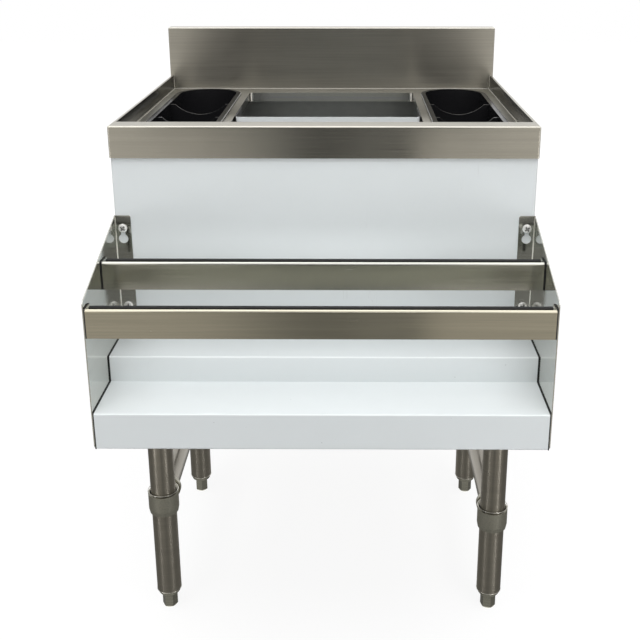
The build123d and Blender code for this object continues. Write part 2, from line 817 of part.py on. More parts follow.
with BuildPart() as upper_shelf:
    with BuildSketch(Plane.YZ.offset(-bar_half)):
        with BuildLine():
            FilletPolyline(
                (mid_front + sheet / 2, lower_shelf_top),
                (mid_front + sheet / 2, upper_shelf_top - sheet / 2),
                (upper_back - sheet / 2, upper_shelf_top - sheet / 2),
                (upper_back - sheet / 2, upper_shelf_top + shelf_upstand),
                radius=shelf_bend,
            )
        trace(line_width=sheet)
    extrude(amount=2 * bar_half)
    for sign in (-1, 1):
        with BuildSketch(Plane.YZ.offset(sign * bar_half)):
            draw_end_strip(
                mid_front + sheet, upper_back - sheet, lower_shelf_top,
                upper_shelf_top - sheet,
            )
        extrude(amount=-sign * sheet)
upper_shelf.part.label = "upper_shelf"
export_step(upper_shelf.part, "parts/upper_shelf.step")

# Black strips between the brackets and the ends of both bars and both shelves
for side, sign in (("left", -1), ("right", 1)):
    with BuildPart() as rail_seals:
        with BuildSketch(Plane.YZ.offset(sign * bracket_inside)):
            for bar_front, bar_top in bars.values():
                draw_rectangle(
                    bar_front, bar_front + bar_end_depth, bar_top - bar_height, bar_top
                )
                with Locations((bar_front + rivet_setback, bar_top - rivet_drop)):
                    Circle(rivet_diameter / 2 + thread_fit, mode=Mode.SUBTRACT)
            draw_end_strip(
                rail_front, mid_front + shelf_tail, rail_bottom, lower_shelf_top
            )
        extrude(amount=-sign * seal)
        with BuildSketch(Plane.YZ.offset(sign * bracket_inside)):
            draw_end_strip(mid_front, upper_back, lower_shelf_top + body_gap, upper_shelf_top)
        extrude(amount=-sign * seal)
    rail_seals.part.label = f"{side}_rail_seals"
    export_step(rail_seals.part, f"parts/{side}_rail_seals.step")

# Rivets: flush outside the brackets, domed inside the ears of the bars
with BuildPart() as bar_rivets:
    for sign in (-1, 1):
        for bar_front, bar_top in bars.values():
            rivet_y = bar_front + rivet_setback
            rivet_z = bar_top - rivet_drop
            head_x = sign * (bar_half - sheet)
            with BuildSketch(facing(rivet_y)):
                with BuildLine():
                    Polyline(
                        (sign * half_width, rivet_z),
                        (sign * half_width, rivet_z + rivet_diameter / 2),
                        (head_x, rivet_z + rivet_diameter / 2),
                        (head_x, rivet_z + rivet_head / 2),
                        (head_x - sign * rivet_head_edge, rivet_z + rivet_head / 2),
                        (head_x - sign * rivet_head_height, rivet_z + rivet_crown / 2),
                        (head_x - sign * rivet_head_height, rivet_z),
                        close=True,
                    )
                make_face()
            revolve(axis=Axis((0, rivet_y, rivet_z), (1, 0, 0)))
bar_rivets.part.label = "bar_rivets"
export_step(bar_rivets.part, "parts/bar_rivets.step")

# Bottle wells: drafted tubs that hang in the deck by their lips
lip_under = deck_top + body_gap
lip_top = lip_under + well_lip_thickness
tub_width = well_width - 2 * well_lip
tub_length = well_length - 2 * well_lip
tub_floor = lip_under - well_depth
draft_run = tan(radians(well_draft))
tubs = {}
for side, sign in (("left", -1), ("right", 1)):
    with BuildPart() as well:
        with BuildSketch(Plane.XY.offset(lip_top)):
            with Locations((sign * well_x, well_y)):
                SlotOverall(tub_length, tub_width, rotation=90)
        extrude(amount=-(lip_top - tub_floor), taper=well_draft)
        fillet(well.faces().sort_by(Axis.Z)[0].edges(), radius=well_floor_radius)
        offset(amount=-well_wall, openings=well.faces().sort_by(Axis.Z)[-1])
        with BuildSketch(Plane.XY.offset(lip_under)):
            with Locations((sign * well_x, well_y)):
                SlotOverall(well_length, well_width, rotation=90)
                SlotOverall(
                    tub_length - well_wall, tub_width - well_wall, rotation=90, mode=Mode.SUBTRACT
                )
        extrude(amount=well_lip_thickness)
        lip_rim = well.faces().filter_by(Plane.XY).sort_by(Axis.Z)[-1].outer_wire().edges()
        fillet(lip_rim, radius=well_lip_round)
        with BuildSketch(Plane.XY.offset(tub_floor)):
            with Locations(
                *[(sign * well_x, well_y + step * partition_pitch) for step in (-1, 0, 1)]
            ):
                Circle(well_drain / 2)
        extrude(amount=well_wall, mode=Mode.SUBTRACT)
    tubs[side] = well.part
    well.part.label = f"{side}_bottle_well"
    export_step(well.part, f"parts/{side}_bottle_well.step")

# Partitions: two plates welded into each tub, their top edges sagging between square shoulders
top_half = tub_width / 2 - well_wall / 2
low_half = top_half - (well_depth - well_wall) * draft_run
for side, sign in (("left", -1), ("right", 1)):
    with BuildPart() as partitions:
        for step in (-0.5, 0.5):
            with BuildSketch(facing(well_y + step * partition_pitch + partition / 2)) as plate:
                with BuildLine():
                    left_top = (sign * well_x - top_half, deck_top)
                    right_top = (sign * well_x + top_half, deck_top)
                    left_sag = (sign * well_x - top_half + partition_shoulder, deck_top)
                    right_sag = (sign * well_x + top_half - partition_shoulder, deck_top)
                    Polyline(
                        left_sag,
                        left_top,
                        (sign * well_x - low_half, tub_floor + well_wall / 2),
                        (sign * well_x + low_half, tub_floor + well_wall / 2),
                        right_top,
                        right_sag,
                    )
                    ThreePointArc(right_sag, (sign * well_x, deck_top - partition_sag), left_sag)
                make_face()
                fillet(plate.vertices().group_by(Axis.Y)[0], radius=well_floor_radius - well_wall / 2)
            extrude(amount=partition)
        add(tubs[side], mode=Mode.SUBTRACT)
    partitions.part.label = f"{side}_well_partitions"
    export_step(partitions.part, f"parts/{side}_well_partitions.step")

# Ice divider: U-shaped sheet that stands on the liner floor, its arms turned back along the sides
arm_half = opening_width / 2 - divider_clearance
divider_front = opening_front + divider_setback
divider_back = divider_front + divider_reach
divider_floor = liner_floor + body_gap
with BuildPart() as ice_divider:
    with BuildSketch(Plane.XY.offset(divider_floor)):
        with BuildLine():
            FilletPolyline(
                (-arm_half + sheet / 2, divider_back),
                (-arm_half + sheet / 2, divider_front + sheet / 2),
                (arm_half - sheet / 2, divider_front + sheet / 2),
                (arm_half - sheet / 2, divider_back),
                radius=divider_bend,
            )
        trace(line_width=sheet)
    extrude(amount=deck_top - divider_floor)
    with BuildSketch(facing(divider_front + 2 * sheet)):
        with Locations(*[(x, divider_floor) for x in (-divider_notch_pitch, 0, divider_notch_pitch)]):
            Circle(divider_notch)
    extrude(amount=2 * sheet, mode=Mode.SUBTRACT)
    heels = ice_divider.edges().filter_by(Axis.X).group_by(Axis.Y)[-1].group_by(Axis.Z)[0]
    fillet(heels, radius=divider_toe)
ice_divider.part.label = "ice_divider"
export_step(ice_divider.part, "parts/ice_divider.step")
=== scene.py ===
"""Looks of the stainless underbar ice bin: finishes, fine pieces, studio and camera.

Everything is in metres, in the part's own frame: X runs along the bar, the bartender
stands at -Y, +Z is up and the floor is at zero.
"""

from __future__ import annotations

import logging
import math
from collections.abc import Callable
from dataclasses import dataclass, field
from enum import Enum
from functools import reduce

import bpy  # noqa: E402
import numpy as np  # noqa: E402
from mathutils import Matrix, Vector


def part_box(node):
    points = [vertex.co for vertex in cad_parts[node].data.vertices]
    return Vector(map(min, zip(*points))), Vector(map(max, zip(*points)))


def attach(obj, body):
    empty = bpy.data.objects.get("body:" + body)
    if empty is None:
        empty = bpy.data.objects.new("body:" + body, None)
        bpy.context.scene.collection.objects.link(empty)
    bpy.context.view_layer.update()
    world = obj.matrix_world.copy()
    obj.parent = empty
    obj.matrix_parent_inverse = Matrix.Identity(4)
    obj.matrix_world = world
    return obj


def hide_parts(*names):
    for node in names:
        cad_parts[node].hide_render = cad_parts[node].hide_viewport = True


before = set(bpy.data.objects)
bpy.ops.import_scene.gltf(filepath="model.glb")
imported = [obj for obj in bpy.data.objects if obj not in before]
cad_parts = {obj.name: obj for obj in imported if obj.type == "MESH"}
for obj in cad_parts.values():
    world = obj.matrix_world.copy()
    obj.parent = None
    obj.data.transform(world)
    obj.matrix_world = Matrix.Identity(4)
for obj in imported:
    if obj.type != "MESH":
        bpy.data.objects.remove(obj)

Point = tuple[float, float, float]
Color = tuple[float, float, float]
Span = tuple[float, float]
Array = np.ndarray
Mesh = bpy.types.Mesh
Material = bpy.types.Material
Tree = bpy.types.NodeTree
Node = bpy.types.Node
Socket = bpy.types.NodeSocket
Value = Socket | float

LOG = logging.getLogger("ice_bin")
SIDES = (("left", -1.0), ("right", 1.0))
CORNERS = ("front_left", "front_right", "rear_left", "rear_right")
UP: Point = (0.0, 0.0, 1.0)
FRONT: Point = (0.0, -1.0, 0.0)
WHITE: Color = (1.0, 1.0, 1.0)
BLACK: Color = (0.0, 0.0, 0.0)

# A face looks along an axis where that part of its normal is above this.
FACING = 0.75
# Edges that turn by more than this stay hard.
CREASE = math.radians(35.0)
# Points that agree to this many decimals of a metre are one point.
MERGE_DECIMALS = 8


# Shader building


class Net:
    """Adds and joins shader nodes in one node tree."""

    def __init__(self, tree: Tree) -> None:
        """Keeps the tree that the nodes go into."""
        self.tree = tree

    def add(self, kind: str, inputs: dict | None = None, **settings: object) -> Node:
        """Adds a node.

        Args:
            kind: the node's type without its ShaderNode prefix.
            inputs: what goes into its inputs.
            settings: properties of the node itself.

        Returns:
            The new node.
        """
        node = self.tree.nodes.new("ShaderNode" + kind)
        for name, value in settings.items():
            setattr(node, name, value)
        self.fill(node, inputs or {})
        return node

    def fill(self, node: Node, inputs: dict) -> None:
        """Fills a node's inputs.

        Args:
            node: the node.
            inputs: what goes into each input: a socket is joined, a value is set.
        """
        for name, value in inputs.items():
            socket = node.inputs[name]
            if isinstance(value, Socket):
                self.tree.links.new(value, socket)
            else:
                socket.default_value = (*value, 1.0) if socket.type == "RGBA" else value

    def use(self, group: Tree, **inputs: Value | Point) -> list[Socket]:
        """Places a node group, fills its inputs and returns its outputs."""
        return list(self.add("Group", inputs, node_tree=group).outputs)

    def math(self, operation: str, *values: Value, clamp: bool = False) -> Socket:
        """Returns the output of a Math node on values or sockets."""
        inputs = dict(enumerate(values))
        return self.add("Math", inputs, operation=operation, use_clamp=clamp).outputs[0]

    def times(self, first: Value, second: Value) -> Socket:
        """Returns the product of two values."""
        return self.math("MULTIPLY", first, second)

    def plus(self, first: Value, second: Value) -> Socket:
        """Returns the sum of two values."""
        return self.math("ADD", first, second)

    def size(self, value: Value) -> Socket:
        """Returns the value without its sign."""
        return self.math("ABSOLUTE", value)

    def parts(self, vector: Socket) -> list[Socket]:
        """Returns the X, Y and Z parts of a vector."""
        return list(self.add("SeparateXYZ", {0: vector}).outputs)

    def vector(self, operation: str, *values: Socket | Point, **scale: Value) -> Socket:
        """Returns the output of a Vector Math node on vectors, with a Scale for some."""
        inputs = {**dict(enumerate(values)), **scale}
        return self.add("VectorMath", inputs, operation=operation).outputs[0]

    def ramp(
        self, value: Value, low: float, high: float, start: float = 0.0, end: float = 1.0
    ) -> Socket:
        """Returns the value carried smoothly from the span low-high to the span start-end."""
        inputs = {"Value": value, 1: low, 2: high, 3: start, 4: end}
        return self.add("MapRange", inputs, interpolation_type="SMOOTHSTEP").outputs["Result"]

    def between(self, share: Value, first: Value, second: Value) -> Socket:
        """Returns the number between two numbers, by a share from 0 to 1."""
        return self.add("Mix", {0: share, 2: first, 3: second}).outputs[0]

    def mix(self, share: Value, first: Value | Color, second: Value | Color) -> Socket:
        """Returns the colour between two colours, by a share from 0 to 1."""
        return self.add("Mix", {0: share, 6: first, 7: second}, data_type="RGBA").outputs[2]

    def layered(self, base: Color, *layers: tuple[Socket, Color]) -> Socket:
        """Returns a colour with layers laid over it, each given by its share and colour."""
        return reduce(lambda below, layer: self.mix(layer[0], below, layer[1]), layers, base)

    def noise(self, place: Socket, scale: Value, detail: float = 2.0, **more: float) -> Socket:
        """Returns a cloudy pattern from 0 to 1, with so many cells per metre."""
        inputs = {"Vector": place, "Scale": scale, "Detail": detail, **more}
        return self.add("TexNoise", inputs).outputs[0]

    def seen(self) -> Socket:
        """Returns 1 for what the eye sees, also in mirrors and through glass, else 0."""
        path = self.add("LightPath").outputs
        indirect = self.math("MAXIMUM", path["Is Glossy Ray"], path["Is Transmission Ray"])
        return self.math("MAXIMUM", path["Is Camera Ray"], indirect)


class Group(Net):
    """A node group in the making, with named inputs and outputs."""

    def __init__(self, name: str, outputs: tuple[str, ...], **inputs: object) -> None:
        """Starts the group.

        Args:
            name: the group's name.
            outputs: the names of the outputs, which are all plain numbers.
            inputs: each input's default: a number, a vector, or None for any vector.
        """
        super().__init__(bpy.data.node_groups.new(name, "ShaderNodeTree"))
        face = self.tree.interface
        for title, default in inputs.items():
            kind = "NodeSocketFloat" if isinstance(default, float) else "NodeSocketVector"
            socket = face.new_socket(title, in_out="INPUT", socket_type=kind)
            if default is not None:
                socket.default_value = default
        for title in outputs:
            face.new_socket(title, in_out="OUTPUT", socket_type="NodeSocketFloat")
        self.given = self.tree.nodes.new("NodeGroupInput").outputs
        self.end = self.tree.nodes.new("NodeGroupOutput")

    def give(self, **results: Socket) -> Tree:
        """Joins the results to the group's outputs and returns the group."""
        self.fill(self.end, results)
        return self.tree


class Surface(Net):
    """A material in the making, with its shader and the place and normal on its mesh."""

    def __init__(self, name: str, shader: str = "BsdfPrincipled") -> None:
        """Starts the material.

        Args:
            name: the material's name.
            shader: the type of its shader.
        """
        self.material = bpy.data.materials.new(name)
        self.material.use_nodes = True
        super().__init__(self.material.node_tree)
        self.tree.nodes.clear()
        self.shader = self.add(shader)
        self.add("OutputMaterial", {"Surface": self.shader.outputs[0]})
        place = self.add("TexCoord").outputs
        self.at, self.normal = place["Object"], place["Normal"]

    def shade(self, **inputs: Value | Color) -> None:
        """Fills inputs of the shader, named with underscores for spaces."""
        self.fill(self.shader, {name.replace("_", " "): put for name, put in inputs.items()})

    def relief(self, height: Socket, strength: float, depth: float) -> None:
        """Gives the shader a relief of this depth in metres from a pattern."""
        bump = self.add("Bump", {"Height": height, "Strength": strength, "Distance": depth})
        self.shade(Normal=bump.outputs[0])


class Effects:
    """The node groups that the finishes share, each built once."""

    def __init__(self) -> None:
        """Builds every group."""
        self.grain = self._grain()
        self.haze = self._haze()
        self.bends = self._bends()
        self.specks = self._specks()

    @staticmethod
    def _grain() -> Tree:
        """Brushed lines: noise drawn out along the grain, turned on faces that look sideways.

        The position is scaled by the lines' frequency on each axis. On faces whose normal is
        along X the frequencies of X and Y change places.

        Returns:
            The group.
        """
        usual, broad_scale, results = (8.0, 500.0, 500.0), 0.16, ("Fine", "Broad")
        net = Group("brushed_grain", results, Vector=None, Normal=None, Frequency=usual)
        place, normal, frequency, *_ = net.given
        sideways = net.math("GREATER_THAN", net.size(net.parts(normal)[0]), FACING)
        x, y, z = net.parts(frequency)
        swapped = net.add("CombineXYZ", {0: y, 1: x, 2: z}).outputs[0]
        chosen = net.add("Mix", {0: sideways, 4: frequency, 5: swapped}, data_type="VECTOR")
        drawn = net.vector("MULTIPLY", place, chosen.outputs[1])
        fine = net.noise(drawn, 1.0, detail=3.0, Roughness=0.6)
        return net.give(Fine=fine, Broad=net.noise(drawn, broad_scale))

    @staticmethod
    def _haze() -> Tree:
        """Handling marks: soft patches of two sizes, added and drawn to a mask.

        Returns:
            The group.
        """
        finer, large_share, small_share, mask = 6.0, 0.7, 0.3, (0.38, 0.64)
        net = Group("handling_haze", ("Patches",), Vector=None, Scale=7.0)
        place, scale, *_ = net.given
        large = net.noise(place, scale, Distortion=0.7)
        small = net.noise(place, net.times(scale, finer), detail=4.0, Roughness=0.65)
        both = net.plus(net.times(large, large_share), net.times(small, small_share))
        return net.give(Patches=net.ramp(both, *mask))

    @staticmethod
    def _bends() -> Tree:
        """Bends and rounded edges: high where the normal lies along none of the three axes.

        Returns:
            The group.
        """
        flat, bent = 0.995, 0.9
        net = Group("bend_mask", ("Bends",), Normal=None)
        x, y, z = net.parts(net.vector("ABSOLUTE", net.given["Normal"]))
        largest = net.math("MAXIMUM", net.math("MAXIMUM", x, y), z)
        return net.give(Bends=net.ramp(largest, flat, bent))

    @staticmethod
    def _specks() -> Tree:
        """Sparse small specks and fine scratches.

        Specks are the cores of few cells of a cell pattern. Scratches are thin bands of a
        noise that is drawn out along Z, kept where a second noise is high.

        Returns:
            The group.
        """
        core, rare = (0.07, 0.03), 0.93
        drawn, band = (160.0, 160.0, 9.0), (0.006, 0.001)
        where, kept = 11.0, (0.62, 0.7)
        net = Group("specks_and_scratches", ("Specks", "Scratches"), Vector=None, Density=60.0)
        place, density, *_ = net.given
        cells = net.add("TexVoronoi", {"Vector": place, "Scale": density}).outputs
        chance = net.add("SeparateColor", {0: cells["Color"]}).outputs[0]
        chosen = net.math("GREATER_THAN", chance, rare)
        lines = net.noise(net.vector("MULTIPLY", place, drawn), 1.0, detail=1.0)
        line = net.ramp(net.size(net.math("SUBTRACT", lines, 0.5)), *band)
        return net.give(
            Specks=net.times(net.ramp(cells["Distance"], *core), chosen),
            Scratches=net.times(line, net.ramp(net.noise(place, where), *kept)),
        )


class Grain(Enum):
    """The direction of a brushed finish, as line frequencies on the three axes."""

    ALONG = (6.0, 420.0, 420.0)
    AROUND = (14.0, 14.0, 900.0)
    ROLLED = (40.0, 60.0, 60.0)


@dataclass(frozen=True)
class Steel:
    """Bare stainless steel with a directional grain."""

    name: str
    color: Color
    roughness: float
    grain: Grain
    streak: float = 0.10
    fine_span: Span = (0.3, 0.7)
    broad_span: Span = (0.35, 0.65)
    broad_share: float = 0.5
    line_rough: float = 0.16
    least_rough: float = 0.04
    relief: float = 0.10
    relief_depth: float = 0.0004
    anisotropy: float = 0.5
    turn: float = 0.25
    haze: float = 0.06
    haze_scale: float = 6.0
    bend_polish: float = 0.12
    # Painted highlight: the colour on bends is made lighter by this factor.
    bend_highlight: float = 1.12
    bend_matte: float = 0.0
    flat_from: float = 0.9
    flat_haze: float = 0.0
    metallic: float = 1.0
    # Painted shade on side walls within this half-width, painted light on the wall behind.
    inside: float = 0.0
    inside_painted_shade: float = 0.76
    inside_painted_light: float = 0.9
    inside_back: float = 0.1
    # Painted shade in crevices and recesses, from a short ambient occlusion.
    crevice_shade: float = 0.0
    crevice_reach: float = 0.003
    crevice_span: Span = (0.45, 0.9)
    # Painted shade on facets that look sideways.
    facet_shade: float = 0.0
    facet_span: Span = (0.35, 0.8)

    def _tone(self, net: Surface, fine: Socket, broad: Socket, bends: Socket) -> Socket:
        """Lightness: fine and broad lines, painted bend highlights, painted shade and light.

        Within the inside width the walls that look along X get a painted shade, and the wall
        behind the opening, which looks to the front, a painted light. Crevices get a painted
        shade, and so do facets that look sideways.

        Args:
            net: the material.
            fine, broad: the patterns of brushed lines.
            bends: the mask of bends.

        Returns:
            The factor on the colour.
        """
        wide = self.broad_share * self.streak
        lines = net.ramp(fine, *self.fine_span, 1.0 - self.streak, 1.0 + self.streak)
        bands = net.ramp(broad, *self.broad_span, 1.0 - wide, 1.0 + wide)
        # Painted highlight: bends are made lighter.
        painted_bend_highlight = net.ramp(bends, 0.0, 1.0, 1.0, self.bend_highlight)
        level = net.times(net.times(lines, bands), painted_bend_highlight)
        facing_x, facing_y, _ = net.parts(net.normal)
        sideways = net.size(facing_x)
        # Painted shade on the inner walls that look along X, painted light on the wall behind.
        if self.inside:
            x, y, _ = net.parts(net.at)
            side = net.math("GREATER_THAN", sideways, FACING)
            within = net.math("LESS_THAN", net.size(x), self.inside)
            dark = net.times(net.times(side, within), -self.inside_painted_shade)
            behind = net.math("GREATER_THAN", y, self.inside_back)
            frontal = net.math("LESS_THAN", facing_y, -FACING)
            light = net.times(net.times(behind, frontal), self.inside_painted_light)
            level = net.times(level, net.plus(1.0, net.plus(dark, light)))
        # Painted shade: facets that look sideways are made darker.
        if self.facet_shade:
            facets = net.ramp(sideways, *self.facet_span, 1.0, 1.0 - self.facet_shade)
            level = net.times(level, facets)
        # Painted shade in crevices and recesses, from a short ambient occlusion.
        if self.crevice_shade:
            reach = {"Distance": self.crevice_reach}
            near = net.add("AmbientOcclusion", reach, samples=8, only_local=True).outputs["AO"]
            dark = 1.0 - self.crevice_shade
            level = net.times(level, net.ramp(near, *self.crevice_span, dark, 1.0))
        return level

    def make(self, effects: Effects) -> Material:
        """Builds the finish: streaked colour, hazed roughness and a fine relief.

        Args:
            effects: the shared node groups.

        Returns:
            The material.
        """
        net = Surface(self.name)
        fine, broad = net.use(
            effects.grain, Vector=net.at, Normal=net.normal, Frequency=self.grain.value
        )
        (patches,) = net.use(effects.haze, Vector=net.at, Scale=self.haze_scale)
        (bends,) = net.use(effects.bends, Normal=net.normal)
        level = self._tone(net, fine, broad, bends)
        metallic: Value = self.metallic
        if self.bend_matte:
            matte = self.metallic - self.bend_matte
            metallic = net.ramp(bends, 0.0, 1.0, self.metallic, matte)
        hazed = net.math("MULTIPLY_ADD", patches, self.haze, self.roughness)
        worn = net.times(bends, -self.bend_polish)
        streaked = net.times(net.math("SUBTRACT", fine, 0.5), self.line_rough)
        flat = net.ramp(net.parts(net.normal)[2], self.flat_from, 1.0, 0.0, self.flat_haze)
        rough = net.math("ADD", net.plus(net.plus(hazed, worn), streaked), flat, clamp=True)
        net.shade(
            Base_Color=net.vector("SCALE", self.color, Scale=level),
            Metallic=metallic,
            Roughness=net.math("MAXIMUM", rough, self.least_rough),
            Anisotropic=self.anisotropy,
            Anisotropic_Rotation=self.turn,
        )
        net.relief(fine, self.relief, self.relief_depth)
        return net.material


@dataclass(frozen=True)
class Satin:
    """Smooth pale sheet: white satin with faint waviness, specks and scratches."""

    name: str
    color: Color
    shade: Color
    roughness: float
    shade_share: float = 0.5
    mark: float = 0.5
    scratch: float = 0.25
    wave_scale: float = 9.0
    # Painted highlight laid over the bends.
    bend_highlight_color: Color = (0.9, 0.93, 0.93)
    bend_highlight_share: float = 0.35
    speck_color: Color = (0.3, 0.31, 0.31)
    scratch_color: Color = (0.5, 0.51, 0.51)
    # Painted shade: the sheet's colour beyond a distance from the middle in X.
    side: Color = (0.1, 0.1, 0.1)
    side_shade_from: float = 10.0
    # Painted shade on faces that look up, as a share of black.
    top_span: Span = (0.8, 1.0)
    top_shade: float = 0.0
    haze: float = 0.08

    def make(self, effects: Effects) -> Material:
        """Builds the finish from two close tones, thin marks and a slow unevenness.

        Bends get a painted highlight. Farther from the middle in X than a given distance, the
        sheet takes a painted shade, and faces that look up get a painted shade.

        Args:
            effects: the shared node groups.

        Returns:
            The material.
        """
        net = Surface(self.name)
        (patches,) = net.use(effects.haze, Vector=net.at, Scale=4.0)
        specks, scratches = net.use(effects.specks, Vector=net.at, Density=70.0)
        (bends,) = net.use(effects.bends, Normal=net.normal)
        across = net.size(net.parts(net.at)[0])
        up = net.parts(net.normal)[2]
        base = net.layered(
            self.color,
            (net.times(patches, self.shade_share), self.shade),
            # Painted highlight on the bends.
            (net.times(bends, self.bend_highlight_share), self.bend_highlight_color),
            (net.times(specks, self.mark), self.speck_color),
            (net.times(scratches, self.scratch), self.scratch_color),
            # Painted shade on the far sides in X, the divider's arms.
            (net.math("GREATER_THAN", across, self.side_shade_from), self.side),
            # Painted shade on faces that look up.
            (net.ramp(up, *self.top_span, 0.0, self.top_shade), BLACK),
        )
        rough = net.math("MULTIPLY_ADD", patches, self.haze, self.roughness)
        net.shade(Base_Color=base, Roughness=rough)
        net.relief(net.noise(net.at, self.wave_scale), strength=0.12, depth=0.004)
        return net.material


@dataclass(frozen=True)
class Moulded:
    """Formed plastic, rubber or foam: one colour with a fine skin and dust."""

    name: str
    color: Color
    roughness: float
    skin: float = 700.0
    relief: float = 0.05
    relief_depth: float = 0.0006
    haze: float = 0.10
    dust: Color = (0.06, 0.06, 0.06)
    dust_share: float = 0.05
    # Painted highlight on high edges: its colour.
    edge: Color = BLACK
    edge_height: float = 10.0
    edge_fade: float = 0.005
    edge_flat: float = 0.0

    def make(self, effects: Effects) -> Material:
        """Builds the finish: skin relief, dust on faces that look up, and painted highlights.

        Above a given height, faces that are tilted upwards get a painted highlight, and level
        ones a share of it.

        Args:
            effects: the shared node groups.

        Returns:
            The material.
        """
        dust_from, tilt_from, level_from = 0.2, (0.3, 0.6), (0.85, 0.97)
        net = Surface(self.name)
        (patches,) = net.use(effects.haze, Vector=net.at, Scale=9.0)
        up, height = net.parts(net.normal)[2], net.parts(net.at)[2]
        dusty = net.times(net.ramp(up, dust_from, 1.0), patches)
        high = net.ramp(height, self.edge_height, self.edge_height + self.edge_fade)
        flat = net.ramp(up, *level_from, 1.0, self.edge_flat)
        # Painted highlight on the high edges that tilt upwards.
        painted_highlight = net.times(high, net.times(net.ramp(up, *tilt_from), flat))
        base = net.layered(
            self.color, (net.times(dusty, self.dust_share), self.dust), (painted_highlight, self.edge)
        )
        rough = net.math("MULTIPLY_ADD", patches, self.haze, self.roughness)
        net.shade(Base_Color=base, Roughness=rough)
        net.relief(net.noise(net.at, self.skin), self.relief, self.relief_depth)
        return net.material


@dataclass(frozen=True)
class Cast:
    """Cast or plain turned metal: grained skin, darker hollows and worn bends."""

    name: str
    color: Color
    dark: Color
    roughness: float
    grain: float = 420.0
    relief: float = 0.3
    relief_depth: float = 0.0005
    hollow_span: Span = (0.55, 0.35)
    hollow_share: float = 0.45
    patch_share: float = 0.25
    haze: float = 0.12
    bend_polish: float = 0.08

    def make(self, effects: Effects) -> Material:
        """Builds the finish from a pebbled relief that also drives the tone.

        Args:
            effects: the shared node groups.

        Returns:
            The material.
        """
        net = Surface(self.name)
        (patches,) = net.use(effects.haze, Vector=net.at, Scale=22.0)
        (bends,) = net.use(effects.bends, Normal=net.normal)
        pebble = net.noise(net.at, self.grain, detail=3.0, Roughness=0.6)
        hollow = net.ramp(pebble, *self.hollow_span)
        base = net.layered(
            self.color,
            (net.times(hollow, self.hollow_share), self.dark),
            (net.times(patches, self.patch_share), self.dark),
        )
        hazed = net.math("MULTIPLY_ADD", patches, self.haze, self.roughness)
        rough = net.plus(hazed, net.times(bends, -self.bend_polish))
        net.shade(Base_Color=base, Metallic=1.0, Roughness=rough)
        net.relief(pebble, self.relief, self.relief_depth)
        return net.material


